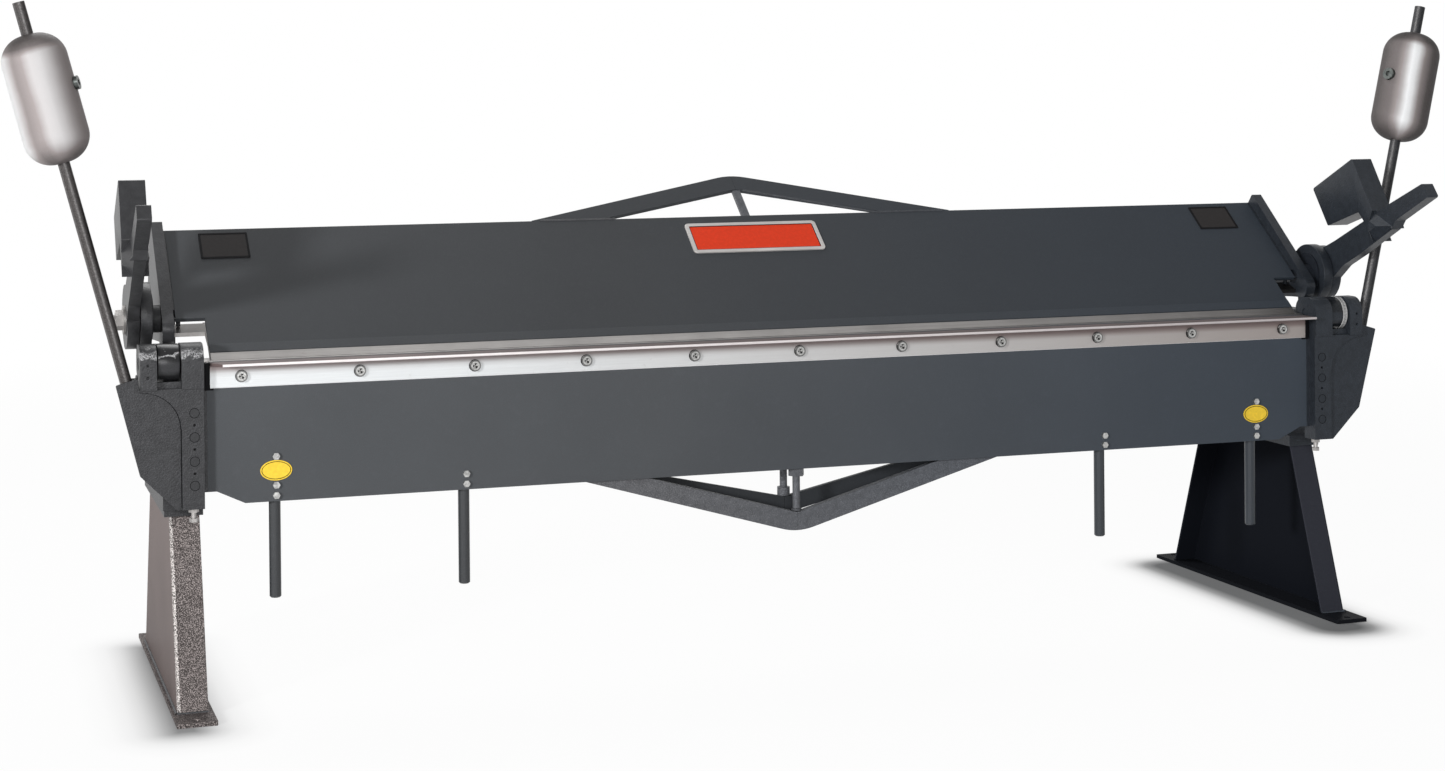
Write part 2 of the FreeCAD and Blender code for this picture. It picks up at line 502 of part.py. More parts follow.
# Apron truss
def truss_arm():
    top = APRON_LOW + TRUSS_LAP
    peak_top = TRUSS_PEAK_LOW + TRUSS_H
    x_in = (APRON_LOW - peak_top) / TRUSS_SLOPE
    end = TRUSS_TIP + TRUSS_FLAT
    side = [(x_in, APRON_LOW), (x_in, top), (end, top), (end, APRON_LOW + 6),
            (TRUSS_TIP - TRUSS_END, APRON_LOW)]
    other = [(-x, z) for x, z in reversed(side)]
    pts = [(0, peak_top)] + side + [(0, TRUSS_PEAK_LOW - 6)] + other
    radii = [30, 0, 0, 6, 6, 10, TRUSS_BEND_R, 10, 6, 6, 0, 0]
    return right_half(xz(pts, TRUSS_Y, TRUSS_Y + TRUSS_T, radii))


both("apron_truss_arm", truss_arm())
yc = TRUSS_Y + TRUSS_T / 2
foot_z = TRUSS_PEAK_LOW + TRUSS_H + TRUSS_FOOT_GAP
post = cyl((0, yc, foot_z), (0, 0, 1), TRUSS_T / 2, APRON_LOW + 30 - foot_z)
nut = hexagon((0, yc, APRON_LOW - TRUSS_NUT_H - 2), (0, 0, 1), TRUSS_NUT, TRUSS_NUT_H)
block = box(-TRUSS_HEEL_HALF, TRUSS_HEEL_HALF, TRUSS_Y, TRUSS_Y + TRUSS_HEEL_D,
            APRON_LOW, APRON_LOW + TRUSS_LAP)
add("apron_truss_screw", fuse(post, nut, block))


# Apron hinge castings
def apron_hinge():
    tongue = box(APRON_HALF + 0.2, BOSS_IN + 1, APRON_FACE, APRON_BACK, APRON_SIDE_LOW,
                 APRON_TOP - ANGLE_LEG)
    boss = box(BOSS_IN, BOSS_OUT, CAST_FRONT, CAST_BACK, CAST_LOW, EAR_LOW + 5)

    def ear(x0, x1):
        # Straight in front, round on top and behind
        pts = [(EAR_FRONT, EAR_LOW), (EAR_FRONT, EAR_R), (EAR_R, EAR_R), (EAR_R, -EAR_CUT),
               (CAST_BACK, -EAR_CUT), (CAST_BACK, EAR_LOW)]
        return yz(pts, x0, x1, [0, EAR_FRONT_R, EAR_R - 1, EAR_CUT - 4, 0, 0])

    inner = ear(BOSS_IN, BOSS_OUT)
    outer = ear(EAR_IN, EAR_OUT)
    # Raised corner between the boss and the outer ear, with a hollow quarter curve
    reach, drop = EAR_OUT - BOSS_OUT - 1.0, EAR_LOW - 5.0 - CURVE_LOW
    pts = [(BOSS_OUT - 1, EAR_LOW + 1), (EAR_OUT, EAR_LOW + 1)]
    for k in range(CURVE_STEPS + 1):
        a = math.radians(90.0 - 90.0 * k / CURVE_STEPS)
        pts.append((EAR_OUT - reach * math.cos(a), CURVE_LOW + drop * math.sin(a)))
    rib = xz(pts + [(BOSS_OUT - 1, CURVE_LOW)], CAST_FRONT, PLATE_FRONT - 0.2)
    s = fuse(tongue, boss, inner, outer, rib)
    s = s.cut(cyl((BOSS_IN - 5, 0, 0), (1, 0, 0), HINGE_R + FIT, EAR_OUT - BOSS_IN + 10))
    for z in BOLT_Z:
        s = s.cut(cyl((BOLT_X, CAST_FRONT - 1, z), (0, 1, 0), BOLT_R + FIT, BOLT_LEN + 6))
        s = s.cut(cyl((BOLT_X, CAST_FRONT - 1, z), (0, 1, 0), BOLT_HEAD_R + 0.5, BOLT_HEAD_H + 1))
    for z in SET_Z:
        s = s.cut(cyl((BOLT_X, CAST_FRONT - 1, z), (0, 1, 0), SET_R + FIT,
                      SET_SUNK + SET_LEN + 5))
    for dz in EAR_HOLE_DZ:
        s = s.cut(cyl((EAR_IN + EAR_HOLE_IN, EAR_FRONT - 1, dz), (0, 1, 0),
                      EAR_HOLE_R, EAR_HOLE_DEEP + 1))
    return s.cut(cyl((BOLT_X, ADJUST_Y, CAST_LOW - 1), (0, 0, 1), ADJUST_R + FIT,
                     ADJUST_LEN - ADJUST_DROP + 6))


both("apron_hinge", apron_hinge())


def hinge_fasteners():
    out = []
    for z in BOLT_Z:
        out.append(fuse(cyl((BOLT_X, CAST_FRONT + 0.1, z), (0, 1, 0), BOLT_HEAD_R, BOLT_HEAD_H - 0.3),
                        cyl((BOLT_X, CAST_FRONT + 2, z), (0, 1, 0), BOLT_R, BOLT_LEN)))
    for z in SET_Z:
        s = cyl((BOLT_X, CAST_FRONT + SET_SUNK, z), (0, 1, 0), SET_R, SET_LEN)
        out.append(s.cut(hexagon((BOLT_X, CAST_FRONT + SET_SUNK - 1, z), (0, 1, 0), SET_HEX, 5)))
    head, nut = CAST_LOW - ADJUST_DROP, CAST_LOW - ADJUST_NUT_H - 0.1
    out.append(fuse(cyl((BOLT_X, ADJUST_Y, head), (0, 0, 1), ADJUST_R, ADJUST_LEN),
                    hexagon((BOLT_X, ADJUST_Y, nut), (0, 0, 1), ADJUST_NUT, ADJUST_NUT_H),
                    hexagon((BOLT_X, ADJUST_Y, head), (0, 0, 1), ADJUST_HEAD, ADJUST_HEAD_H)))
    return out


both("hinge_fasteners", *hinge_fasteners())


# Weight brackets
def weight_bracket():
    under = EAR_LOW - 2 * GAP
    pts = [(BOSS_OUT + 0.2, BRACKET_LOW)] + BRACKET_PTS
    pts += [(EAR_OUT + 0.9, under), (EAR_IN - GAP, under),
            (EAR_IN - GAP, BRIDGE_TOP), (BOSS_OUT + 0.2, BRIDGE_TOP)]
    return xz(pts, PLATE_FRONT, PLATE_FRONT + PLATE_T, BRACKET_ROUNDS)


both("weight_bracket", weight_bracket())


def rod_point(z):
    return V(ROD_X0 + ROD_OUT * (z - ROD_Z0), ROD_Y0 + ROD_BACK * (z - ROD_Z0), z)


ROD_DIR = rod_point(ROD_TOP_Z) - rod_point(ROD_LOW_Z)
ROD_DIR.normalize()


def along_rod(z0, z1, r):
    a, b = rod_point(z0), rod_point(z1)
    return Part.makeCylinder(r, (b - a).Length, a, ROD_DIR)


both("weight_rod", along_rod(ROD_LOW_Z, ROD_TOP_Z, ROD_R))


# Weights: round-ended cylinders clamped by a screw on the inner front
def weight():
    s = along_rod(WEIGHT_LOW_Z, WEIGHT_TOP_Z, WEIGHT_R)
    rims = [e for e in s.Edges if abs(e.Length - 2 * math.pi * WEIGHT_R) < 1.0]
    s = s.makeFillet(WEIGHT_ROUND, rims)
    s = s.cut(along_rod(WEIGHT_LOW_Z - 20, WEIGHT_TOP_Z + 20, ROD_R + FIT))
    c = rod_point(KNOB_Z)
    d = V(KNOB_X, KNOB_Y, 0.0)
    d = d - ROD_DIR * d.dot(ROD_DIR)
    d.normalize()
    s = s.cut(Part.makeCylinder(KNOB_STUD_R + FIT, WEIGHT_R + 10, c, d))
    s = s.cut(Part.makeCylinder(KNOB_R + 0.6, KNOB_T + 10, c + d * (WEIGHT_R - KNOB_SUNK - 0.1), d))
    return s, c, d


WEIGHT, SCREW_C, SCREW_D = weight()
both("counterweight", WEIGHT)
p = SCREW_C + SCREW_D * (ROD_R + 0.35)
clamp = Part.makeCylinder(KNOB_STUD_R, WEIGHT_R - ROD_R + 4, p, SCREW_D)
knob = Part.makeCylinder(KNOB_R, KNOB_T, SCREW_C + SCREW_D * (WEIGHT_R - KNOB_SUNK), SCREW_D)
socket = SCREW_C + SCREW_D * (WEIGHT_R - KNOB_SUNK + KNOB_T - KNOB_HEX_DEEP)
knob = knob.cut(hexagon(tuple(socket), tuple(SCREW_D), KNOB_HEX, KNOB_HEX_DEEP + 1))
both("weight_screw", fuse(clamp, knob))

# Top leaf
CA, SA = math.cos(math.radians(LEAF_ANGLE)), math.sin(math.radians(LEAF_ANGLE))


def leaf_pt(s, n):
    # Point at a distance s up the leaf's front face and n in front of it.
    return (NOSE_TOP_Y + 0.3 + s * CA - n * SA, NOSE_TOP_Z + 0.3 + s * SA + n * CA)


by, bz = leaf_pt(0, -LEAF_T)
t = (NOSE_TOP_Z + NOSE_SLOPE * (by - NOSE_TOP_Y) + 0.35 - bz) / (SA - NOSE_SLOPE * CA)
foot_back = (by + t * CA, bz + t * SA)
leaf = yz([leaf_pt(0, 0), leaf_pt(LEAF_LEN, 0), leaf_pt(LEAF_LEN, -LEAF_T), foot_back],
          -LEAF_HALF, LEAF_HALF)
corner = yz([leaf_pt(-60, 30), leaf_pt(NOTCH_S, 30), leaf_pt(NOTCH_S, -80),
             leaf_pt(-60, -80)], NOTCH_X, LEAF_HALF + 1)
leaf = cut(leaf, corner, flip(corner))
add("leaf_plate", leaf)


def nose_z(y):
    return NOSE_TOP_Z + NOSE_SLOPE * (y - NOSE_TOP_Y)


lift = 0.5
step = nose_z(NOSE_STEP_Y)
nose = yz([(NOSE_Y, lift), (NOSE_TOP_Y, NOSE_TOP_Z), (NOSE_STEP_Y, step),
           (NOSE_STEP_Y, step - NOSE_T), (NOSE_LOW_BACK, lift)], -NOSE_HALF, NOSE_HALF)
add("nose_bar", nose)
# The strip behind the nose bar that the leaf plate stands on
strip = yz([(NOSE_STEP_Y, step), (NOSE_BACK, nose_z(NOSE_BACK)),
            (NOSE_BACK, nose_z(NOSE_BACK) - NOSE_T), (NOSE_STEP_Y, step - NOSE_T)],
           -NOSE_HALF, NOSE_HALF)
tab = yz([(TAB_FRONT, nose_z(TAB_FRONT)), (TAB_BACK, nose_z(TAB_BACK)),
          (TAB_BACK, nose_z(TAB_BACK) - NOSE_T), (TAB_FRONT, nose_z(TAB_FRONT) - NOSE_T)],
         -ARM_IN + GAP, ARM_IN - GAP)
add("leaf_base_strip", fuse(strip, tab))

HINGE_E = (ECC_Y - ECC * math.cos(math.radians(ECC_ANGLE)),
           ECC_Z - ECC * math.sin(math.radians(ECC_ANGLE)))


def leaf_arm():
    # Front edge nearly parallel with the leaf, round at its lower end
    low, top = leaf_pt(72, 20.0), leaf_pt(LEAF_LEN + 4.4, 30.0)
    back_top = leaf_pt(LEAF_LEN + 4.4, -62.0)
    pts = [low, top, back_top, (REAR_Y + 44, REAR_Z + 14), (REAR_Y + 20, REAR_Z - 38),
           (150, 36.0), (84, 38.0)]
    s = yz(pts, ARM_IN, ARM_OUT, [24, 5, 12, 40, 30, 30, 20])
    # Lug that carries the leaf plate's end, and its stud on the base strip's tab
    low, top, face = NOTCH_S + LUG_GAP, LEAF_LEN - 10, -LEAF_T - 0.2
    lug = yz([leaf_pt(low, face), leaf_pt(top, face), leaf_pt(top, face - LUG_T),
              leaf_pt(low, face - LUG_T)], ARM_IN - LUG_W, ARM_IN + 1)
    stud_z = nose_z(NOTCH_STUD_Y + NOTCH_STUD_R) + GAP
    stud = cyl((ARM_IN - NOTCH_STUD_IN, NOTCH_STUD_Y, stud_z), (0, 0, 1), NOTCH_STUD_R,
               NOTCH_STUD_TOP - stud_z)
    s = fuse(s, lug, stud)
    fill = yz([leaf_pt(NOTCH_S, 0), leaf_pt(LEAF_LEN, 0), leaf_pt(LEAF_LEN, -LEAF_T - 6),
               leaf_pt(NOTCH_S, -LEAF_T - 6)], LEAF_HALF + 0.3, ARM_IN + 1)
    s = s.fuse(fill)
    s = s.cut(cyl((ARM_IN - 10, REAR_Y, REAR_Z), (1, 0, 0), REAR_R + FIT, ARM_T + 20))
    s = s.cut(cyl((ARM_IN - 10, HINGE_E[0], HINGE_E[1]), (1, 0, 0), SHAFT_R + FIT, ARM_T + 20))
    return s.removeSplitter()


both("leaf_arm", leaf_arm())
pin_x = WALL_IN - BLOCK_T + 1
pin = cyl((pin_x, REAR_Y, REAR_Z), (1, 0, 0), REAR_R, ARM_OUT + PIVOT_REACH - pin_x)
pin = pin.fuse(cyl((ARM_OUT + 0.4, REAR_Y, REAR_Z), (1, 0, 0), PIVOT_HEAD_R, PIVOT_HEAD_T))
both("rear_pivot_pin", pin.removeSplitter())


# Truss over the leaf, in the leaf's own slope
def leaf_frame(points, n0, n1, radii=0.0):
    # Outline given as (x, s) on the leaf, thickness from n0 to n1 in front of it
    ang = LEAF_ANGLE - 90.0
    face = Part.Face(wire([(x, 0, s) for x, s in points], radii)).extrude(V(0, n0 - n1, 0))
    face.translate(V(0, -n0, 0))
    face.rotate(V(0, 0, 0), V(1, 0, 0), ang)
    y0, z0 = leaf_pt(0, 0)
    face.translate(V(0, y0, z0))
    return face


L = LEAF_LEN + 0.4
PEAK = LEAF_LEN + LEAF_TRUSS_RISE
LT_SLOPE = (PEAK - L - LEAF_TRUSS_END) / LEAF_TRUSS_TIP
inner = PEAK - LEAF_TRUSS_H
half = [(LEAF_TRUSS_TIP, L + LEAF_TRUSS_END), (LEAF_TRUSS_TIP, L), ((inner - L) / LT_SLOPE, L)]
mirror = [(-x, t) for x, t in reversed(half)]
outline = [(0, PEAK + 8)] + half + [(0, inner)] + mirror
truss = leaf_frame(outline, -LEAF_T, 0, [TRUSS_BEND_R, 0, 0, 0, 30, 0, 0, 0])
right_arm = right_half(truss)
add("leaf_truss_left", flip(right_arm))
add("leaf_truss_right", right_arm)
ends = [(-LEAF_STRUT_HALF, L), (LEAF_STRUT_HALF, L), (LEAF_STRUT_HALF, inner - 5),
        (-LEAF_STRUT_HALF, inner - 5)]
add("leaf_truss_strut", leaf_frame(ends, -LEAF_T + 1, -1))


def flat_plate(x, half, drop, height, thick, r):
    top = LEAF_LEN - drop
    pts = [(x - half, top - height), (x + half, top - height), (x + half, top), (x - half, top)]
    return leaf_frame(pts, PLATE_OFF, thick, r)


add("name_plate", flat_plate(0, NAME_HALF, NAME_DROP, NAME_H, NAME_T, NAME_R))
blank_x = LEAF_HALF - BLANK_FROM_END
add("blank_plates", *[flat_plate(x, BLANK_HALF, BLANK_DROP, BLANK_H, BLANK_T, BLANK_R)
                      for x in (-blank_x, blank_x)])


# Clamp handle: hub, bar, grip, and a heavy block whose neck wraps the bar
def from_hub(points):
    return [(ECC_Y + y, ECC_Z + z) for y, z in points]


def facet(a, b, depth, x0, x1):
    # Wedge along the edge from a to b: it takes x0 back to x1 at the edge, over a depth.
    (ay, az), (by, bz) = a, b
    run = V(0, by - ay, bz - az)
    into = V(0, -run.z, run.y)
    into.normalize()
    p = V(x0, ay, az)
    corners = [p, V(x1, ay, az), p + into * depth]
    return Part.Face(wire([tuple(c) for c in corners])).extrude(run)


def clamp_handle():
    hub = cyl((HUB_IN, ECC_Y, ECC_Z), (1, 0, 0), HUB_R, HUB_T)
    bar = yz(from_hub(BAR_PTS), HUB_IN, HUB_OUT, BAR_ROUNDS)
    grip = yz(from_hub(GRIP_PTS), HUB_MID - GRIP_W / 2, HUB_MID + GRIP_W / 2, GRIP_ROUNDS)
    outline = from_hub(BLOCK_PTS)
    block = yz(outline, BLOCK_IN, BLOCK_OUT, BLOCK_ROUNDS)
    low_back, low_front, front, neck = outline[5:]
    for x0, x1 in ((BLOCK_IN, HUB_IN), (BLOCK_OUT, HUB_OUT)):
        block = block.cut(facet(low_front, low_back, FACET_UP, x0, x1))
        block = block.cut(facet(neck, front, FACET_BACK, x0, x1))
    arm = fuse(bar, grip, block)
    arm.rotate(V(HUB_MID, ECC_Y, ECC_Z), V(0, 0, 1), HANDLE_TILT)
    s = fuse(hub, arm)
    return s.cut(cyl((HUB_IN - 5, HINGE_E[0], HINGE_E[1]), (1, 0, 0), SHAFT_R + FIT, HUB_T + 10))


add("right_clamp_handle", clamp_handle())
# The left handle stands a little further up its eccentric's shaft
left_handle = flip(clamp_handle())
left_handle.rotate(V(0, HINGE_E[0], HINGE_E[1]), V(1, 0, 0), -LEFT_TURN)
add("left_clamp_handle", left_handle)


def eccentric():
    hy, hz = HINGE_E
    side = LINK_IN - 2 * GAP
    shaft = cyl((ARM_IN + 2, hy, hz), (1, 0, 0), SHAFT_R, HUB_OUT - ARM_IN)
    collar = cyl((ARM_OUT + 1.0, hy, hz), (1, 0, 0), COLLAR_R, side - ARM_OUT - 1.0)
    shoulder = cyl((side - SHOULDER_T, ECC_Y, ECC_Z), (1, 0, 0), SHOULDER_R, SHOULDER_T)
    disc = cyl((side - 1, ECC_Y, ECC_Z), (1, 0, 0), LINK_BORE - FIT, LINK_OUT + CHEEK_GAP - side)
    seat = HUB_OUT + 1.0
    washer = cyl((seat, hy, hz), (1, 0, 0), STUD_WASHER_R, STUD_WASHER_T)
    nut = hexagon((seat + STUD_WASHER_T, hy, hz), (1, 0, 0), STUD_NUT, STUD_NUT_T)
    stud = cyl((HUB_OUT, hy, hz), (1, 0, 0), STUD_R, STUD_LEN)
    return fuse(shaft, collar, shoulder, disc, washer, nut, stud)


both("eccentric", eccentric())


def link():
    ring = cyl((LINK_IN, ECC_Y, ECC_Z), (1, 0, 0), LINK_R, LINK_T)
    eye = cyl((LINK_IN, ECC_Y, LINK_PIN_Z), (1, 0, 0), LINK_EYE_R, LINK_T)
    neck = yz([(ECC_Y - 36, LINK_PIN_Z), (ECC_Y + 36, LINK_PIN_Z), (ECC_Y + 52, ECC_Z - 62),
               (ECC_Y - 52, ECC_Z - 62)], LINK_IN, LINK_OUT)
    s = fuse(ring, eye, neck)
    s = s.cut(cyl((LINK_IN - 1, ECC_Y, ECC_Z), (1, 0, 0), LINK_BORE, LINK_T + 2))
    return s.cut(cyl((LINK_IN - 1, ECC_Y, LINK_PIN_Z), (1, 0, 0), LINK_PIN_R + LINK_PLAY,
                     LINK_T + 2))


both("link", link())

# The origin is on the floor, half way between the backs of the feet and the tips of the handles
y_back = max(s.BoundBox.YMax for s in shapes["right_foot_plate"])
y_front = min(s.BoundBox.YMin for s in shapes["right_clamp_handle"])
MID_Y = (y_back + y_front) / 2.0
print("middle in Y %.4f" % MID_Y)

# Write one file per piece
os.makedirs("parts", exist_ok=True)
for name, solids in shapes.items():
    flat = []
    for s in solids:
        flat += s.Solids
    moved = []
    for s in flat:
        s = s.copy()
        s.translate(V(0, -MID_Y, BEND_HEIGHT))
        moved.append(s)
    out = moved[0] if len(moved) == 1 else Part.makeCompound(moved)
    out.exportStep("parts/%s.step" % name)
    b = out.BoundBox
    print("%-26s %2d solid(s) valid %s  x %.1f %.1f  y %.1f %.1f  z %.1f %.1f" % (
        name, len(moved), out.isValid(), b.XMin, b.XMax, b.YMin, b.YMax, b.ZMin, b.ZMax))
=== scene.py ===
import math

import bmesh
import bpy
from bpy.props import FloatProperty, FloatVectorProperty, IntProperty, PointerProperty
from mathutils import Matrix, Vector


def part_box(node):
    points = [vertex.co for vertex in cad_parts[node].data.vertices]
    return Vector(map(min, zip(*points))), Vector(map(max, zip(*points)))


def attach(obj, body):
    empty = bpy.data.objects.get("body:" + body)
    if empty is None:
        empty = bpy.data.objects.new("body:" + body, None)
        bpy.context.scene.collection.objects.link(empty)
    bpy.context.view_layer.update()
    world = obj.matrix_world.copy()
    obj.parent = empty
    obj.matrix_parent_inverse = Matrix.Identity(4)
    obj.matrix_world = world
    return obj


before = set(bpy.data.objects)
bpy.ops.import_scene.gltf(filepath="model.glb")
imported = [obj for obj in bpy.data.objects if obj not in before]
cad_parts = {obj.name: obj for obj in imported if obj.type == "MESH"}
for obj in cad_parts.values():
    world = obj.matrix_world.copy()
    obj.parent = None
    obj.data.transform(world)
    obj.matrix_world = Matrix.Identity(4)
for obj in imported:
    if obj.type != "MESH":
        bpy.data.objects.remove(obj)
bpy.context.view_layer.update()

bl_info = {
    "name": "Sheet Metal Folder Finish",
    "version": (1, 0, 0),
    "blender": (4, 5, 0),
    "location": "3D View > Sidebar > Folder",
    "description": "Paints a sheet metal folder and adds its small trim",
    "category": "Object",
}

SIDES = {"left": -1.0, "right": 1.0}


def middle(name):
    """Middle of a CAD node's box."""
    return [(a + b) / 2 for a, b in zip(*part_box(name))]


BEND_Y, BEND_Z = middle("right_hinge_pin")[1:]
LEAF_SLOPE = math.radians(39.5)
SHARP = math.radians(35.0)

# Direction in which the parts of a new mesh are put in order, so that each run gives the same
ORDER = Vector((1.0, 37.31, 911.77))

# The angle's socket screws: how many, pitch, radius of the head and of its bright face, and how
# far ahead of the bend line their dark rings lie
SCREWS, SCREW_PITCH, HEAD_R, HEAD_FACE_R, RING_AHEAD = 11, 0.2921, 0.014, 0.0109, 0.02635

# Hinge castings: bolts, set screws, the seam's X and the top of the bare foot screw
BOLT_X, BOLT_HEAD_R, BOLT_FACE, CAST_SPLIT = 1.5770, 0.0110, 0.0465, 1.6070
BOLT_HEIGHTS = tuple(BEND_Z - 0.119 - i * (0.295 - 0.119) / 3 for i in range(4))
GRUB_HEIGHTS, GRUB_R, FOOT_SCREW_TOP = (0.6997, 0.6410, 0.5823), 0.006, 0.4955

# Legs: front and back edge at the foot, their slopes, the foot plate's top, and across the
# machine the inside of the web, the start of the corner's painted glints and the web's
# outer rounding
LEG_FRONT, LEG_BACK, LEG_RAKE_FRONT, LEG_RAKE_BACK = -0.0728, 0.7203, 0.3325, -0.3669
FOOT_TOP, LEG_INSIDE, LEG_GLINTS, LEG_ROUNDING = 0.0107, 1.61875, 1.6195, (1.6205, 1.6272)

# Slanted rods: a point on the axis, and its slopes outwards and back; the weights' mid height
ROD_FOOT, ROD_OUT, ROD_BACK = (1.7334, -0.0062, 0.800), 0.2613, 0.05
WEIGHT_MIDDLE = 1.50

# Outer end of the eccentric's painted part; the bare stud lies beyond it
ECCENTRIC_END = 1.7230

# Name plate: width, height, middle up the leaf; half width, foot and head of its red field
NAME_W, NAME_H, NAME_UP = 0.386, 0.117, 0.3565
NAME_FIELD = (0.1895, 0.3015, 0.4115)

# Small plates on the leaf: width, height, X and middle up the leaf
BLANK_W, BLANK_H, BLANK_X, BLANK_UP = 0.126, 0.094, 1.455, 0.382

# Oval tags: X, and the yellow edge left outside the line
TAG_X, TAG_EDGE = 1.3772, 0.0030

# Strip along the leaf's foot: where it starts up the leaf, and half its length
LIP_FOOT, LIP_HALF = 0.0016, 1.5288

# Bend scale: angle of the first graduation and the step, in degrees, and two lengths
TICK_START, TICK_STEP, TICK_LENGTHS = 50.0, 5.0, (0.0072, 0.0046)

# Soft shadow painted round the feet: its shift, how much less the left foot's is, its reach
SHADOW_X, SHADOW_Y, SHADOW_LEFT, SHADOW_REACH = 0.060, 0.080, 0.030, 0.30

# Light from all round; the camera's place, its yaw, pitch and roll, its lens and shift
AMBIENT = 0.13
CAMERA_AT = (-2.21465, BEND_Y - 5.65601, 1.48965)
CAMERA_TURN = (0.3058, -0.0060, -0.0089)
CAMERA_LENS, CAMERA_SHIFT = 57.17, (0.05785, -0.19189)


# Sizes and colours that a user would change

def size(name, text, default):
    return FloatProperty(name=name, description=text, default=default, unit="LENGTH")


def colour(name, text, default):
    return FloatVectorProperty(name=name, description=text, default=default,
                               subtype="COLOR", size=3, min=0, max=1)


class FolderSizes(bpy.types.PropertyGroup):
    edge: size("Casting edge", "Rounding of the castings' edges", 0.003)
    sheet_edge: size("Plate edge", "Rounding of the plates' edges", 0.0009)
    weld: size("Weld bead", "Radius of a weld bead", 0.005)
    rim: size("Rim width", "Width of the metal rim of the name plate", 0.011)
    rim_line: size("Inner line", "Width of the dark line inside the name plate's rim", 0.0022)
    border: size("Border", "Width of the border of a small blank plate", 0.0055)
    tag_line: size("Tag line", "Width of the line inside an oval tag's edge", 0.0015)
    lip: size("Leaf lip", "Height of the strip along the foot of the leaf", 0.029)
    lip_thick: size("Lip thickness", "Thickness of the strip along the leaf's foot", 0.0014)
    # Black blocks of painted shade fill the gaps beside the angle's ends
    shade_block: size("Shade block", "Thickness of the shade blocks by the angle's ends", 0.012)
    ring: size("Screw ring", "Width of the dark ring round a socket screw", 0.0012)
    seam: size("Seam width", "Width of the seam and painted shadow round a hinge casting", 0.0022)
    tick: size("Tick width", "Width of a graduation on the bend scale", 0.0012)
    ticks: IntProperty(name="Ticks", description="Graduations round the bend scale",
                       default=43, min=4, max=63)


class FolderColours(bpy.types.PropertyGroup):
    plate: colour("Plate paint", "Satin enamel on the plates", (0.047, 0.050, 0.054))
    casting: colour("Casting paint", "Hammered enamel on the castings", (0.036, 0.0365, 0.039))
    legs: colour("Leg paint", "Hammered enamel on the legs", (0.075, 0.066, 0.064))
    # The web colour is painted light, the inside colour painted shade
    leg_web: colour("Leg web", "Smooth side of a leg", (0.165, 0.134, 0.128))
    leg_inside: colour("Leg inside", "Unlit gloss paint inside a leg", (0.0085, 0.0098, 0.0135))
    weight: colour("Weight metal", "Satin silver of the weights", (0.88, 0.89, 0.90))
    steel: colour("Steel", "Bare ground steel", (0.40, 0.385, 0.375))
    bright: colour("Bright steel", "Drawn face of the stiffening angle", (0.66, 0.68, 0.69))
    zinc: colour("Zinc", "Plated screws", (0.50, 0.50, 0.49))
    black: colour("Black oxide", "Blackened screws, lines and painted shade", (0.010, 0.010, 0.012))
    scale: colour("Scale", "Face of the bend scale", (0.50, 0.50, 0.50))
    yellow: colour("Tag yellow", "Oval tags", (0.92, 0.62, 0.032))
    orange: colour("Plate red", "Field of the name plate", (0.78, 0.052, 0.016))
    floor: colour("Floor", "Floor and backdrop", (0.90, 0.90, 0.90))


# Shader maths written as expressions

class Socket:
    def __init__(self, tree, out):
        self.tree, self.out = tree, out

    def math(self, op, a, b=None):
        n = self.tree.nodes.new("ShaderNodeMath")
        n.operation = op
        for i, v in enumerate((a, b)):
            if isinstance(v, Socket):
                self.tree.links.new(v.out, n.inputs[i])
            elif v is not None:
                n.inputs[i].default_value = v
        return Socket(self.tree, n.outputs[0])

    def __add__(self, o): return self.math("ADD", self, o)
    def __radd__(self, o): return self.math("ADD", o, self)
    def __sub__(self, o): return self.math("SUBTRACT", self, o)
    def __rsub__(self, o): return self.math("SUBTRACT", o, self)
    def __mul__(self, o): return self.math("MULTIPLY", self, o)
    def __rmul__(self, o): return self.math("MULTIPLY", o, self)
    def __truediv__(self, o): return self.math("DIVIDE", self, o)
    def __rtruediv__(self, o): return self.math("DIVIDE", o, self)
    def __gt__(self, o): return self.math("GREATER_THAN", self, o)
    def __lt__(self, o): return self.math("LESS_THAN", self, o)
    def __abs__(self): return self.math("ABSOLUTE", self)


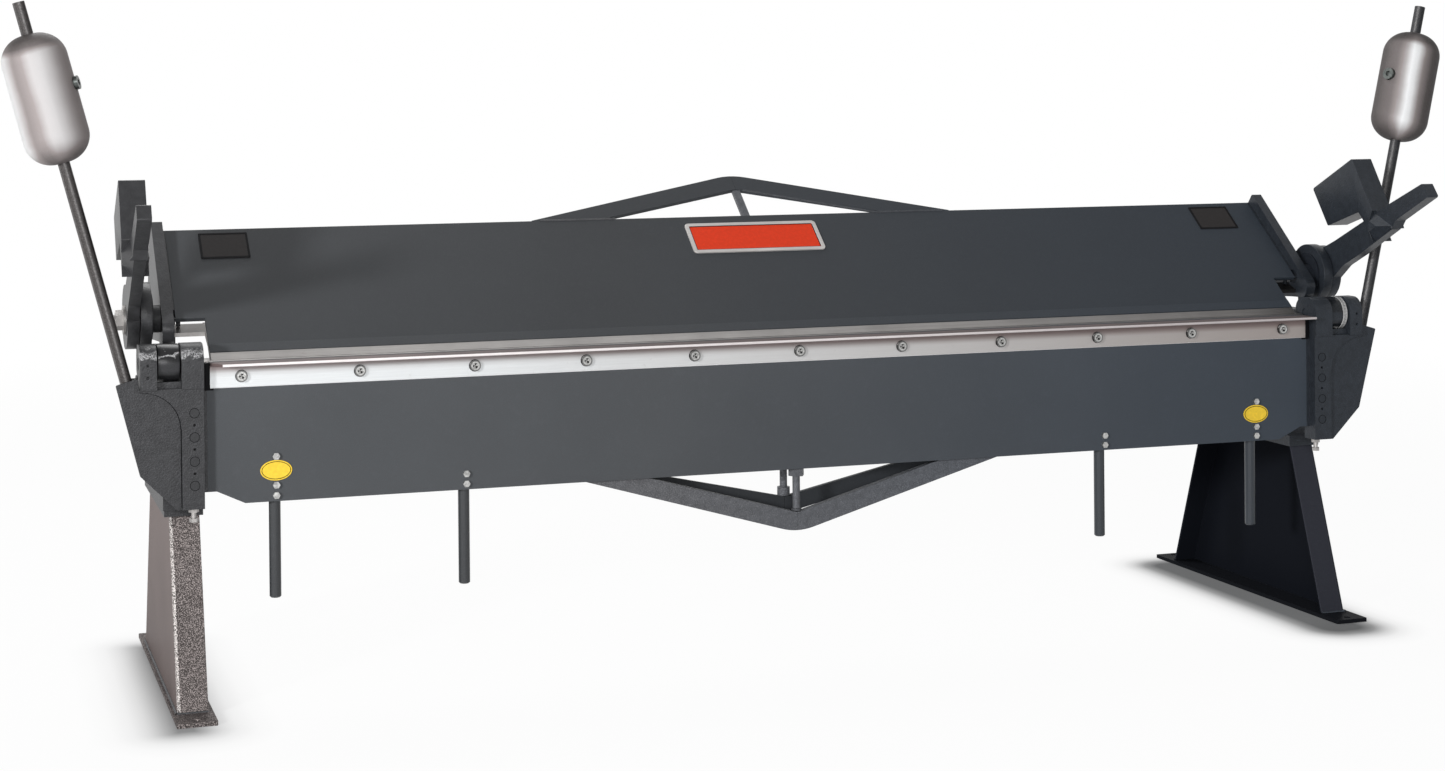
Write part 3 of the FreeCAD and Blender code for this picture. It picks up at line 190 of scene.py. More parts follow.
class Finish:
    """One material, built from node calls and Socket expressions."""

    def __init__(self, name):
        self.mat = bpy.data.materials.new(name)
        self.mat.use_nodes = True
        self.tree = self.mat.node_tree
        self.tree.nodes.clear()
        self.coord = self.node("TexCoord")["Object"]

    def node(self, kind, settings=None, **sockets):
        n = self.tree.nodes.new("ShaderNode" + kind)
        for k, v in (settings or {}).items():
            if k == "stops":
                ramp = n.color_ramp
                while len(ramp.elements) < len(v):
                    ramp.elements.new(0.5)
                for e, (pos, col) in zip(ramp.elements, v):
                    e.position = pos
                    e.color = (col, col, col, 1) if isinstance(col, float) else (*col, 1)
            else:
                setattr(n, k, v)
        for k, v in sockets.items():
            key = k.replace("_", " ")
            s = next(i for i in n.inputs if i.enabled and i.name == key)
            if isinstance(v, Socket):
                self.tree.links.new(v.out, s)
            elif hasattr(s.default_value, "__len__") and len(s.default_value) == 4 and len(v) == 3:
                s.default_value = (*v, 1.0)
            else:
                s.default_value = v
        return {o.name: Socket(self.tree, o) for o in n.outputs if o.enabled}

    def noise(self, scale, detail=3.0, rough=0.5, stretch=None):
        v = self.coord
        if stretch:
            v = self.node("Mapping", Vector=v, Scale=stretch)["Vector"]
        return self.node("TexNoise", Vector=v, Scale=scale, Detail=detail, Roughness=rough)["Fac"]

    def cells(self, scale):
        return self.node("TexVoronoi", Vector=self.coord, Scale=scale)["Distance"]

    def ramp(self, fac, *stops):
        return self.node("ValToRGB", {"stops": stops}, Fac=fac)["Color"]

    def mix(self, fac, a, b, mode="MIX"):
        n = self.tree.nodes.new("ShaderNodeMix")
        n.data_type, n.blend_type = "RGBA", mode
        for i, v in ((0, fac), (6, a), (7, b)):
            if isinstance(v, Socket):
                self.tree.links.new(v.out, n.inputs[i])
            else:
                n.inputs[i].default_value = (*v, 1.0) if i else v
        return Socket(self.tree, n.outputs[2])

    def over(self, mask, low, high, share, base, tint):
        """Lays tint over base where the mask passes from low to high, up to a share."""
        return self.mix(self.ramp(mask, (low, 0.0), (high, share)), base, tint)

    def between(self, value, low, high):
        """0 up to low, 1 from high on, even between."""
        return self.node("MapRange", Value=value, From_Min=low, From_Max=high)["Result"]

    def clamp(self, value):
        return self.node("Clamp", Value=value)["Result"]

    def xyz(self):
        return self.node("SeparateXYZ", Vector=self.coord)

    def shade_to_right(self, base, tint, start=-0.4, end=1.6):
        """Painted shade: darkens and blues the colour towards the machine's right end."""
        far = self.between(self.xyz()["X"], start, end)
        return self.mix(far, base, self.mix(1.0, base, tint, "MULTIPLY"))

    def close(self, bump=None, strength=0.2, depth=0.001, **sockets):
        if bump is not None:
            sockets["Normal"] = self.node("Bump", Height=bump, Strength=strength,
                                          Distance=depth)["Normal"]
        bsdf = self.node("BsdfPrincipled", IOR=1.5, **sockets)["BSDF"]
        out = self.tree.nodes.new("ShaderNodeOutputMaterial")
        self.tree.links.new(bsdf.out, out.inputs["Surface"])
        return self.mat


def shade(rgb, k):
    return tuple(min(1.0, c * k) for c in rgb)


def satin_enamel(name, rgb, grain=1.0, rough=0.50, level=0.14):
    f = Finish(name)
    cloud = f.noise(2.2, 4.0, 0.55)
    peel = f.noise(620.0, 2.0, 0.45)
    dust = f.noise(46.0, 5.0, 0.65)
    base = f.over(cloud, 0.3, 0.7, 1.0, shade(rgb, 0.93), shade(rgb, 1.07))
    base = f.over(peel, 0.50, 0.78, 0.40 * grain, base, shade(rgb, 1.9))
    base = f.over(dust, 0.55, 0.82, 0.22, base, shade(rgb, 1.5))
    # Painted shade: darker and bluer towards the machine's right end
    base = f.shade_to_right(base, (0.68, 0.79, 0.93))
    return f.close(bump=peel + dust * 0.5, strength=0.22, depth=0.0005,
                   Base_Color=base, Roughness=rough + cloud * 0.14, Metallic=0.0,
                   Specular_IOR_Level=level)


def hammered_enamel(name, rgb, sparkle=0.5, scale=210.0, rough=0.34, glint=0.10, smooth=0.0,
                    dent=0.45):
    """Hammered paint with painted glints above the bend line, at the machine's left end only.

    smooth is the radius round the bend line within which it has no bumps, is glossier and
    has painted highlight and shade stripes."""
    f = Finish(name)
    at = f.xyz()
    y, z = at["Y"] - BEND_Y, at["Z"] - BEND_Z
    warp = f.noise(52.0, 3.0, 0.6)
    dimple = f.cells(scale)
    grain = f.noise(scale * 1.9, 3.0, 0.7)
    swirl = f.noise(60.0, 3.0, 0.6)
    base = f.over(warp, 0.35, 0.65, 1.0, shade(rgb, 0.84), shade(rgb, 1.14))
    base = f.over(grain, 0.52, 0.68, sparkle, base, shade(rgb, 4.2))
    base = f.mix(f.ramp(dimple, (0.10, sparkle * 0.6), (0.34, 0.0)), base, shade(rgb, 0.45))
    # Painted glints above the bend line, at the left end only
    glint_band = f.ramp(z * 25.0 + (swirl - 0.5) * 0.9, (0.35, 0.0), (0.50, 1.0), (0.72, 0.8),
                  (0.95, 0.0)) * (y < -0.018)
    painted_glints = glint_band * f.ramp(grain, (0.45, 0.0), (0.56, 0.80)) * (at["X"] < 0.0)
    even = (y * y + z * z < smooth * smooth) if smooth else 0.0
    if smooth:
        # Painted highlight on the glossy knuckle
        wave = f.ramp(z * 25.0 + (swirl - 0.5) * 1.1, (0.52, 0.0), (0.60, 1.0), (0.66, 0.0))
        painted_glints = f.mix(even, painted_glints, wave * (y < -0.018) * (at["X"] < 0.0))
        # Painted shade on the knuckle, with a painted light stripe across it
        knuckle_light_band = f.ramp(z * 14.0 + 0.5, (0.10, 0.0), (0.30, 0.7), (0.55, 0.5), (0.62, 0.0))
        base = f.mix(even, base, f.mix(knuckle_light_band, shade(rgb, 0.55), shade(rgb, 1.7)))
    base = f.mix(painted_glints, base, (0.60, 0.60, 0.61))
    # Painted shade: darker and bluer towards the machine's right end
    base = f.shade_to_right(base, (0.62, 0.73, 0.86))
    return f.close(bump=(dimple + warp * 0.4 + grain * 0.5) * (1.0 - even), strength=dent,
                   depth=0.0016, Base_Color=base, Roughness=(rough + grain * 0.20) - even * 0.16,
                   Metallic=f.ramp(grain, (0.48, glint * 0.3), (0.66, glint * 4.0)),
                   Specular_IOR_Level=0.22)


def leg_enamel(name, rgb, web, inside):
    """Hammered flakes on the flanges, with painted glints along the front corner.

    Only the left leg shows the flakes; the right leg's flanges and foot get painted shade, the
    channel too. The smooth web outside is brownish and lighter upwards, as painted light.
    """
    f = Finish(name)
    at = f.xyz()
    across, right = abs(at["X"]), at["X"] > 0.0
    ahead = at["Y"] - BEND_Y - LEG_FRONT - (at["Z"] - FOOT_TOP) * LEG_RAKE_FRONT
    behind = BEND_Y + LEG_BACK + (at["Z"] - FOOT_TOP) * LEG_RAKE_BACK - at["Y"]
    above = at["Z"] > FOOT_TOP + 0.0002
    outer = f.between(across, *LEG_ROUNDING)
    smooth = outer * above * (ahead > 0.007)
    channel_shade = (across < LEG_INSIDE) * above * (ahead > 0.004) * (behind > 0.004)
    # Painted glints along the front corner
    corner = (across > LEG_GLINTS) * above * (ahead < 0.0085)
    warp = f.noise(14.0, 3.0, 0.6)
    dimple = f.cells(340.0)
    grain = f.noise(430.0, 2.0, 0.6)
    fine = f.noise(700.0, 2.0, 0.5)
    cloud = f.noise(3.0, 3.0, 0.5)
    flakes = f.over(warp, 0.38, 0.62, 1.0, shade(rgb, 0.74), shade(rgb, 0.90))
    # Bright flecks: partly the paint's own flakes, partly painted glints
    bright = f.over(warp, 0.40, 0.74, 1.0, shade(rgb, 5.0), shade(rgb, 6.6))
    flakes = f.over(grain, 0.49, 0.60, 0.84, flakes, bright)
    flakes = f.mix(f.ramp(dimple, (0.10, 0.55), (0.32, 0.0)), flakes, shade(rgb, 0.35))
    flakes = f.mix(f.ramp(grain, (0.46, 0.0), (0.52, 1.0)) * corner, flakes, (0.66, 0.62, 0.60))
    # Painted light on the smooth web, lighter upwards
    high = f.between(at["Z"], 0.05, 0.46)
    flat = f.mix(high, shade(web, 0.76), shade(web, 1.12))
    flat = f.over(cloud, 0.35, 0.65, 0.5, flat, shade(web, 1.25))
    flat = f.over(fine, 0.48, 0.76, 0.30, flat, shade(web, 1.5))
    # Painted shade on the right leg's flanges, darker still on its foot plate
    shadow = f.over(grain, 0.50, 0.70, 0.35, (0.040, 0.042, 0.053), (0.070, 0.075, 0.092))
    shadow = f.mix(above, (0.012, 0.013, 0.016), shadow)
    base = f.mix(smooth, f.mix(right, flakes, shadow), flat)
    # Painted shade inside the channel
    base = f.mix(channel_shade, base, inside)
    rough = (1 - smooth) * (1 - channel_shade) * (1 - right)
    return f.close(bump=(dimple + grain * 0.6) * rough + fine * 0.10, strength=0.45,
                   depth=0.0016, Base_Color=base, Roughness=0.26 + grain * 0.18 + rough * 0.08,
                   Metallic=0.24 * rough, Specular_IOR_Level=0.004)


def round_rod(at):
    """Where a point lies round its slanted rod: turn from the front, squared distance."""
    rise = at["Z"] - ROD_FOOT[2]
    out = abs(at["X"]) - ROD_FOOT[0] - rise * ROD_OUT
    right = at["X"] > 0.0
    back = at["Y"] - BEND_Y - ROD_FOOT[1] - rise * ROD_BACK
    turn = out.math("ARCTAN2", out * (right * 2.0 - 1.0), back * -1.0)
    return turn, out * out + back * back


def weight_silver(name, rgb, dark):
    """Satin silver with painted reflections: broad soft light and dark stripes round each weight,
    and painted shade on its ends.
    """
    f = Finish(name)
    at = f.xyz()
    turn, wide = round_rod(at)
    right = at["X"] > 0.0
    cloud = f.noise(9.0, 4.0, 0.55)
    grain = f.noise(520.0, 2.0, 0.5)
    around = turn / (2 * math.pi) + 0.5 + (cloud - 0.5) * 0.035
    # Painted reflections and shade round each weight, one set for each side
    left_painted_light = f.ramp(around, (0.08, 0.25), (0.24, 0.90), (0.31, 0.74), (0.375, 0.36),
                       (0.425, 0.42), (0.470, 0.64), (0.520, 0.68), (0.560, 0.62),
                       (0.600, 0.50), (0.680, 0.38), (0.76, 0.24))
    right_painted_light = f.ramp(around, (0.08, 0.03), (0.15, 0.04), (0.25, 0.12), (0.330, 0.24),
                        (0.380, 0.55), (0.415, 1.0), (0.445, 0.90), (0.490, 0.34),
                        (0.540, 0.10), (0.62, 0.02), (0.80, 0.02))
    tone = f.mix(right, left_painted_light, right_painted_light)
    end = f.between(wide, 0.0003, 0.0060)
    # Painted shade on the ends, darkest on the top one
    top = at["Z"] > WEIGHT_MIDDLE
    crown_shade = f.ramp(end, (0.0, 0.02), (0.45, 0.10), (0.80, 0.32), (1.0, 1.0))
    bottom_shade = f.ramp(end, (0.0, 0.28), (0.60, 0.60), (1.0, 1.0))
    tone = tone * (crown_shade * top + bottom_shade * (1 - top))
    # dark is the colour of the painted shade
    base = f.over(tone, 0.0, 0.42, 1.0, dark, (0.300, 0.266, 0.262))
    base = f.over(tone, 0.42, 1.0, 1.0, base, rgb)
    base = f.over(grain, 0.52, 0.76, 0.22, base, shade(rgb, 0.45))
    return f.close(bump=grain + cloud * 0.5, strength=0.10, depth=0.0005, Base_Color=base,
                   Roughness=0.46 + cloud * 0.12, Metallic=0.10, Specular_IOR_Level=0.08)


def rod_enamel(name, rgb):
    """Dark speckled paint on the rods, with a painted highlight along each.

    The right rod is darker still, as painted shade.
    """
    f = Finish(name)
    at = f.xyz()
    turn = round_rod(at)[0]
    right = at["X"] > 0.0
    grain = f.noise(430.0, 3.0, 0.7)
    around = turn / (2 * math.pi) + 0.5
    # Painted highlight along each rod
    left_rod_highlight = f.ramp(around, (0.26, 0.20), (0.32, 0.55), (0.38, 0.12), (0.46, 0.16),
                         (0.505, 0.75), (0.55, 0.22), (0.64, 0.05))
    right_rod_highlight = f.ramp(around, (0.22, 0.10), (0.31, 0.25), (0.355, 0.95), (0.41, 0.22),
                          (0.50, 0.08), (0.62, 0.02))
    streak = f.mix(right, left_rod_highlight, right_rod_highlight)
    speck = f.ramp(grain, (0.44, 0.30), (0.60, 1.0))
    # Painted shade: the right rod darker
    dark = f.mix(right, shade(rgb, 0.42), (0.011, 0.013, 0.016))
    base = f.mix(streak * speck, dark, (0.36, 0.35, 0.35))
    base = f.over(grain, 0.52, 0.66, 0.25, base, shade(rgb, 2.0))
    return f.close(bump=grain, strength=0.4, depth=0.0010, Base_Color=base,
                   Roughness=0.34 + grain * 0.2, Metallic=0.15, Specular_IOR_Level=0.10)


def ground_steel(name, rgb, stretch=(1.2, 60.0, 60.0), rough=0.30, spots=0.3, right=1.0):
    """Ground steel, darker by the factor right at the machine's right end as painted shade."""
    f = Finish(name)
    far = f.between(f.xyz()["X"], -0.6, 1.5)
    streak = f.noise(12.0, 6.0, 0.75, stretch)
    wide = f.noise(3.0, 3.0, 0.5, stretch)
    blotch = f.noise(7.0, 3.0, 0.55)
    spot = f.noise(46.0, 4.0, 0.7)
    base = f.over(streak, 0.32, 0.68, 1.0, shade(rgb, 0.80), shade(rgb, 1.12))
    base = f.over(wide, 0.35, 0.70, 0.35, base, shade(rgb, 0.70))
    base = f.over(blotch, 0.42, 0.72, 0.55, base, shade(rgb, 0.62))
    base = f.over(spot, 0.62, 0.80, spots, base, (0.16, 0.12, 0.10))
    # Painted shade towards the right end
    base = f.mix(far, base, f.mix(1.0, base, (right,) * 3, "MULTIPLY"))
    return f.close(bump=streak, strength=0.12, depth=0.0004, Base_Color=base,
                   Roughness=rough + streak * 0.20, Metallic=0.88)


def angle_steel(name, bright, brown):
    """White drawn face; painted shade brownish under the lip, dark on top and towards the right,
    and painted highlights on the lip's edge and along the foot.
    """
    f = Finish(name)
    at = f.xyz()
    lo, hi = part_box("apron_angle")
    streak = f.noise(9.0, 6.0, 0.75, (1.2, 60.0, 60.0))
    tone = f.noise(4.0, 3.0, 0.5)
    spot = f.noise(60.0, 4.0, 0.7)
    far = f.between(at["X"], -0.9, 1.4)
    face = f.over(streak, 0.32, 0.68, 1.0, shade(bright, 0.93), shade(bright, 1.05))
    # Painted shade towards the right end
    face = f.mix(far, face, (0.34, 0.305, 0.29))
    # Painted shade under the lip, fading down the face
    drop = f.between(at["Z"], hi[2] - 0.044, hi[2] - 0.007)
    lip_shade = f.over(tone, 0.40, 0.72, 1.0, shade(brown, 1.1), brown)
    near_end = f.ramp(drop, (0.15, 0.0), (0.45, 0.22), (0.72, 0.80), (1.0, 1.0))
    far_end = f.ramp(drop, (0.25, 0.0), (0.50, 0.70), (0.70, 0.95), (1.0, 1.0))
    face = f.mix(f.mix(far, near_end, far_end), face, lip_shade)
    # Painted highlight on the lip's edge; the top gets painted shade
    edge = f.over(streak, 0.36, 0.66, 1.0, (0.72, 0.66, 0.65), (0.90, 0.87, 0.87))
    top = f.over(tone, 0.40, 0.72, 1.0, shade(brown, 0.55), shade(brown, 0.85))
    base = f.mix(at["Y"] < lo[1] + 0.0030, f.mix(at["Z"] > hi[2] - 0.0008, face, top),
                 f.mix(far, edge, (0.50, 0.46, 0.46)))
    # Painted highlight along the foot
    foot = at["Z"] < lo[2] + 0.0016
    base = f.mix(foot * 0.7, base, (0.86, 0.86, 0.87))
    base = f.over(spot, 0.64, 0.82, 0.25, base, (0.20, 0.15, 0.12))
    return f.close(bump=streak, strength=0.10, depth=0.0003, Base_Color=base,
                   Roughness=0.38 + streak * 0.18, Metallic=0.35)


def plated_screw(name, rgb, rough=0.22, metal=0.92):
    f = Finish(name)
    wear = f.noise(160.0, 3.0, 0.6)
    base = f.over(wear, 0.35, 0.70, 1.0, shade(rgb, 0.62), shade(rgb, 1.12))
    return f.close(bump=wear, strength=0.15, depth=0.0004, Base_Color=base,
                   Roughness=rough + wear * 0.22, Metallic=metal)


def socket_screw(name, rgb, face_y):
    """Plated heads, darker round the rim of the face.

    Painted light and shade lie on the hexagon socket's sides.
    """
    f = Finish(name)
    at = f.xyz()
    wear = f.noise(160.0, 3.0, 0.6)
    deep = at["Y"] > face_y
    step = at["X"] / SCREW_PITCH + 0.5
    dx = step.math("FRACT", step) * SCREW_PITCH - SCREW_PITCH * 0.5
    dz = at["Z"] - middle("apron_angle_screws")[2]
    # Painted light and shade on the socket's sides, by angle round the screw
    lit_flank = dx.math("SINE", dx.math("ARCTAN2", dz, dx) * 3.0 + 0.9) > 0.0
    out = dx * dx + dz * dz
    base = f.over(wear, 0.35, 0.70, 1.0, shade(rgb, 0.62), shade(rgb, 1.12))
    base = f.mix(out > HEAD_FACE_R ** 2, base, shade(rgb, 0.30))
    base = f.mix(deep, base, f.mix(lit_flank, (0.010, 0.010, 0.010), (0.42, 0.42, 0.41)))
    return f.close(bump=wear, strength=0.15, depth=0.0004, Base_Color=base,
                   Roughness=0.24 + wear * 0.22, Metallic=0.92 - deep * 0.5)


def flat_enamel(name, rgb, rough=0.38, coat=0.0, level=0.4):
    f = Finish(name)
    wear = f.noise(120.0, 4.0, 0.6)
    fine = f.noise(700.0, 2.0, 0.5)
    base = f.over(wear, 0.40, 0.75, 1.0, shade(rgb, 0.92), shade(rgb, 1.10))
    return f.close(bump=fine, strength=0.10, depth=0.0002, Base_Color=base,
                   Roughness=rough + wear * 0.15, Metallic=0.0, Specular_IOR_Level=level,
                   Coat_Weight=coat)


def name_plate_enamel(name, rgb, steel):
    """Red enamel on the field; the plate's edge is bare like its rim."""
    f = Finish(name)
    at = f.xyz()
    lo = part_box("leaf_plate")[0]
    up = (at["Y"] - lo[1]) * math.cos(LEAF_SLOPE) + (at["Z"] - lo[2]) * math.sin(LEAF_SLOPE)
    half, foot, head = NAME_FIELD
    bare = (abs(at["X"]) > half) + (up < foot) + (up > head)
    wear = f.noise(120.0, 4.0, 0.6)
    paint = f.over(wear, 0.40, 0.75, 1.0, shade(rgb, 0.94), shade(rgb, 1.06))
    return f.close(bump=wear, strength=0.08, depth=0.0002,
                   Base_Color=f.mix(f.clamp(bare), paint, steel),
                   Roughness=0.40 + wear * 0.12, Specular_IOR_Level=0.14)


def bolt_enamel(name, rgb, steel):
    """The row of bolts carries the casting's paint; the foot screw is bare, and the grub screws'
    holes get painted shade.
    """
    f = Finish(name)
    z = f.xyz()["Z"]
    grain = f.noise(500.0, 2.0, 0.6)
    low = z < FOOT_SCREW_TOP
    first, *others = (abs(z - height) < GRUB_R for height in GRUB_HEIGHTS)
    grub = sum(others, first)
    paint = f.over(grain, 0.50, 0.75, 0.5, shade(rgb, 0.9), shade(rgb, 2.0))
    # Painted shade: darker and bluer towards the machine's right end
    paint = f.shade_to_right(paint, (0.62, 0.73, 0.86))
    # Painted shade in the grub screws' holes
    base = f.mix(low, f.mix(grub, paint, (0.006, 0.006, 0.007)), steel)
    return f.close(bump=grain, strength=0.2, depth=0.0005, Base_Color=base,
                   Roughness=0.36 + grain * 0.2, Metallic=0.04 + low * 0.8,
                   Specular_IOR_Level=0.2)


def eccentric_enamel(name, rgb, steel):
    """Painted like the castings; only the stud, its washer and nut outside are bare."""
    f = Finish(name)
    bare = abs(f.xyz()["X"]) > ECCENTRIC_END
    grain = f.noise(420.0, 3.0, 0.7)
    thread = f.node("TexWave", {"wave_type": "BANDS", "bands_direction": "X"},
                    Vector=f.coord, Scale=180.0)["Fac"]
    paint = f.over(grain, 0.50, 0.70, 0.5, shade(rgb, 0.8), shade(rgb, 2.2))
    # Painted shade: darker and bluer towards the machine's right end
    paint = f.shade_to_right(paint, (0.42, 0.50, 0.62))
    metal = f.over(thread, 0.3, 0.6, 1.0, shade(steel, 0.55), shade(steel, 1.1))
    return f.close(bump=grain * (1 - bare) + thread * bare, strength=0.25, depth=0.0008,
                   Base_Color=f.mix(bare, paint, metal), Roughness=0.36 + grain * 0.2,
                   Metallic=bare * 0.88, Specular_IOR_Level=0.12)


def paints(c):
    plate, casting, steel, black = c.plate, c.casting, c.steel, c.black
    socket_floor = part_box("apron_angle_screws")[0][1] + 0.0015
    # Brighter and darker copies of the one plate paint stand in for light and shade
    satin_enamel("apron enamel", shade(plate, 1.52))
    satin_enamel("leaf enamel", shade(plate, 1.05))
    satin_enamel("bed enamel", shade(plate, 0.7))
    satin_enamel("handle enamel", shade(plate, 0.80), 1.6, 0.24, 0.35)
    satin_enamel("leaf lip enamel", shade(plate, 1.25))
    hammered_enamel("hammered charcoal enamel", casting, 0.34)
    hammered_enamel("smooth charcoal enamel", casting, 0.12, dent=0.16, rough=0.28)
    hammered_enamel("end frame enamel", shade(casting, 0.9), 0.34, smooth=0.0472)
    hammered_enamel("truss enamel", shade(casting, 2.5), 0.55, 260.0)
    hammered_enamel(WELD, shade(casting, 1.6), 0.6, 420.0, 0.30, 0.14)
    leg_enamel("hammered leg enamel", c.legs, c.leg_web, c.leg_inside)
    weight_silver("satin silver", c.weight, (0.040, 0.035, 0.034))
    rod_enamel("rod enamel", c.legs)
    ground_steel("ground steel", steel, right=0.42)
    ground_steel("base strip steel", shade(steel, 0.8), (8.0, 8.0, 8.0), 0.40, right=0.12)
    ground_steel("brushed plate rim", shade(steel, 1.35), (4.0, 60.0, 60.0), 0.34, spots=0.1)
    angle_steel("drawn steel angle", c.bright, (0.17, 0.125, 0.12))
    socket_screw("bright socket screws", c.zinc, socket_floor)
    plated_screw("bright zinc plate", c.zinc)
    plated_screw("black oxide", black, 0.34, 0.6)
    bolt_enamel("bolt enamel", casting, shade(steel, 0.85))
    eccentric_enamel("eccentric enamel", casting, shade(steel, 0.85))
    flat_enamel("scale enamel", c.scale, 0.34)
    flat_enamel("tag yellow enamel", c.yellow, 0.32, 0.2)
    name_plate_enamel("plate red enamel", c.orange, shade(steel, 1.2))
    plated_screw("weight screw metal", (0.10, 0.11, 0.105), 0.24, 0.75)
    flat_enamel(LINE, shade(black, 0.5), 0.42, level=0.05)
    flat_enamel("dark tag field", (0.026, 0.023, 0.023), 0.36, level=0.08)


# Paints of the added pieces, and of the CAD nodes
# LINE paints the black lines, and also the shade blocks and the seams' painted shadow
LINE, WELD = "black line enamel and painted shade", "painted weld"
NODE_PAINT = {
    "hammered leg enamel": ["{}_foot_plate", "{}_leg"],
    "hammered charcoal enamel": ["{}_pivot_block", "{}_apron_hinge", "{}_weight_bracket",
                                 "{}_hinge_pin"],
    "smooth charcoal enamel": ["{}_leaf_arm", "{}_clamp_handle", "{}_link"],
    "end frame enamel": ["{}_end_frame"],
    "apron enamel": ["apron_plate"],
    "leaf enamel": ["leaf_plate", "leaf_truss_left", "leaf_truss_right"],
    "bed enamel": ["bed_web", "{}_bed_truss_arm"],
    "truss enamel": ["{}_apron_truss_arm", "leaf_truss_strut", "bed_truss_screw",
                     "apron_truss_screw"],
    "ground steel": ["bed_bar", "nose_bar"],
    "base strip steel": ["leaf_base_strip"],
    "drawn steel angle": ["apron_angle"],
    "eccentric enamel": ["{}_eccentric"],
    "scale enamel": ["bend_scale_ring"],
    "bright socket screws": ["apron_angle_screws"],
    "bright zinc plate": ["lift_handle_screws"],
    "black oxide": ["{}_link_pin", "{}_rear_pivot_pin"],
    "weight screw metal": ["{}_weight_screw"],
    "bolt enamel": ["{}_hinge_fasteners"],
    "handle enamel": ["{}_outer_lift_handle", "{}_inner_lift_handle"],
    "satin silver": ["{}_counterweight"],
    "rod enamel": ["{}_weight_rod"],
    "tag yellow enamel": ["oval_tags"],
    "plate red enamel": ["name_plate"],
    "dark tag field": ["blank_plates"],
}
CAST_NODES = ("{}_apron_hinge", "{}_clamp_handle", "{}_link", "{}_leaf_arm", "{}_end_frame",
              "{}_pivot_block")
PLATE_NODES = ("{}_leg", "{}_foot_plate", "{}_weight_bracket", "apron_plate", "leaf_plate",
               "nose_bar", "bed_bar", "{}_apron_truss_arm", "leaf_truss_left",
               "leaf_truss_right", "{}_bed_truss_arm", "apron_angle")


def node_names(patterns):
    for p in patterns:
        yield from (p.format(side) for side in (SIDES if "{}" in p else [""]))


# Meshes

def finish_mesh(bm, name, body, material, bevel=0.0):
    """Turns a bmesh into one piece that rides on a body."""
    bmesh.ops.remove_doubles(bm, verts=bm.verts, dist=1e-6)
    bmesh.ops.recalc_face_normals(bm, faces=bm.faces)
    if not bm.faces:
        raise RuntimeError(name + " came out empty")
    bm.verts.sort(key=lambda v: v.co.dot(ORDER))
    for part in (bm.edges, bm.faces):
        part.sort(key=lambda p: sum(v.co.dot(ORDER) for v in p.verts) / len(p.verts))
    mesh = bpy.data.meshes.new(name)
    bm.to_mesh(mesh)
    bm.free()
    obj = bpy.data.objects.new(name, mesh)
    bpy.context.scene.collection.objects.link(obj)
    mesh.materials.append(bpy.data.materials[material])
    if bevel:
        m = obj.modifiers.new("Rounded edges", "BEVEL")
        m.width, m.segments, m.limit_method, m.angle_limit = bevel, 2, "ANGLE", math.radians(40)
    mesh.polygons.foreach_set("use_smooth", [True] * len(mesh.polygons))
    mesh.set_sharp_from_angle(angle=SHARP)
    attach(obj, body)


def leaf_matrix():
    """Frame on the leaf's front face: x along it, y up the slope, z out of it."""
    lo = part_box("leaf_plate")[0]
    ca, sa = math.cos(LEAF_SLOPE), math.sin(LEAF_SLOPE)
    m = Matrix(((1, 0, 0, 0), (0, ca, -sa, 0), (0, sa, ca, 0), (0, 0, 0, 1)))
    return Matrix.Translation((0, lo[1], lo[2])) @ m


def facing_front(x, y, z):
    """Frame whose z points to the machine's front, for flat things on the apron."""
    return Matrix.Translation((x, y, z)) @ Matrix.Rotation(math.radians(90), 4, "X")


def place(bm, matrix, verts=None):
    bmesh.ops.transform(bm, matrix=matrix, verts=verts or bm.verts)


def slab(bm, x0, x1, y0, y1, z0, z1):
    """A block with the given corners."""
    made = bmesh.ops.create_cube(bm, size=1.0)["verts"]
    bmesh.ops.scale(bm, verts=made, vec=(x1 - x0, y1 - y0, z1 - z0))
    bmesh.ops.translate(bm, verts=made, vec=((x0 + x1) / 2, (y0 + y1) / 2, (z0 + z1) / 2))
    return made


def lift(bm, faces, way):
    """Gives the flat faces a thickness."""
    up = bmesh.ops.extrude_face_region(bm, geom=faces)["geom"]
    bmesh.ops.translate(bm, verts=[v for v in up if isinstance(v, bmesh.types.BMVert)], vec=way)


def raised_border(bm, width, thick):
    """Opens the one flat face to a border of the given width and gives it a thickness."""
    face = bm.faces[:]
    rim = bmesh.ops.inset_region(bm, faces=face, thickness=width, depth=0.0,
                                 use_boundary=True, use_even_offset=True)["faces"]
    bmesh.ops.delete(bm, geom=face, context="FACES_ONLY")
    lift(bm, rim, (0, 0, thick))


def rounded_border(w, h, corner, width, thick, cx=0.0, cy=0.0, z=0.0):
    bm = bmesh.new()
    made = bmesh.ops.create_grid(bm, x_segments=1, y_segments=1, size=0.5)["verts"]
    bmesh.ops.scale(bm, verts=made, vec=(w, h, 1))
    bmesh.ops.bevel(bm, geom=made, offset=corner, segments=6, profile=0.5,
                    affect="VERTICES", material=-1)
    raised_border(bm, width, thick)
    bmesh.ops.translate(bm, verts=bm.verts, vec=(cx, cy, z))
    return bm


def oval_border(a, b, width, thick, segments=72):
    bm = bmesh.new()
    made = bmesh.ops.create_circle(bm, segments=segments, radius=1.0, cap_ends=True)["verts"]
    bmesh.ops.scale(bm, verts=made, vec=(a, b, 1))
    raised_border(bm, width, thick)
    return bm


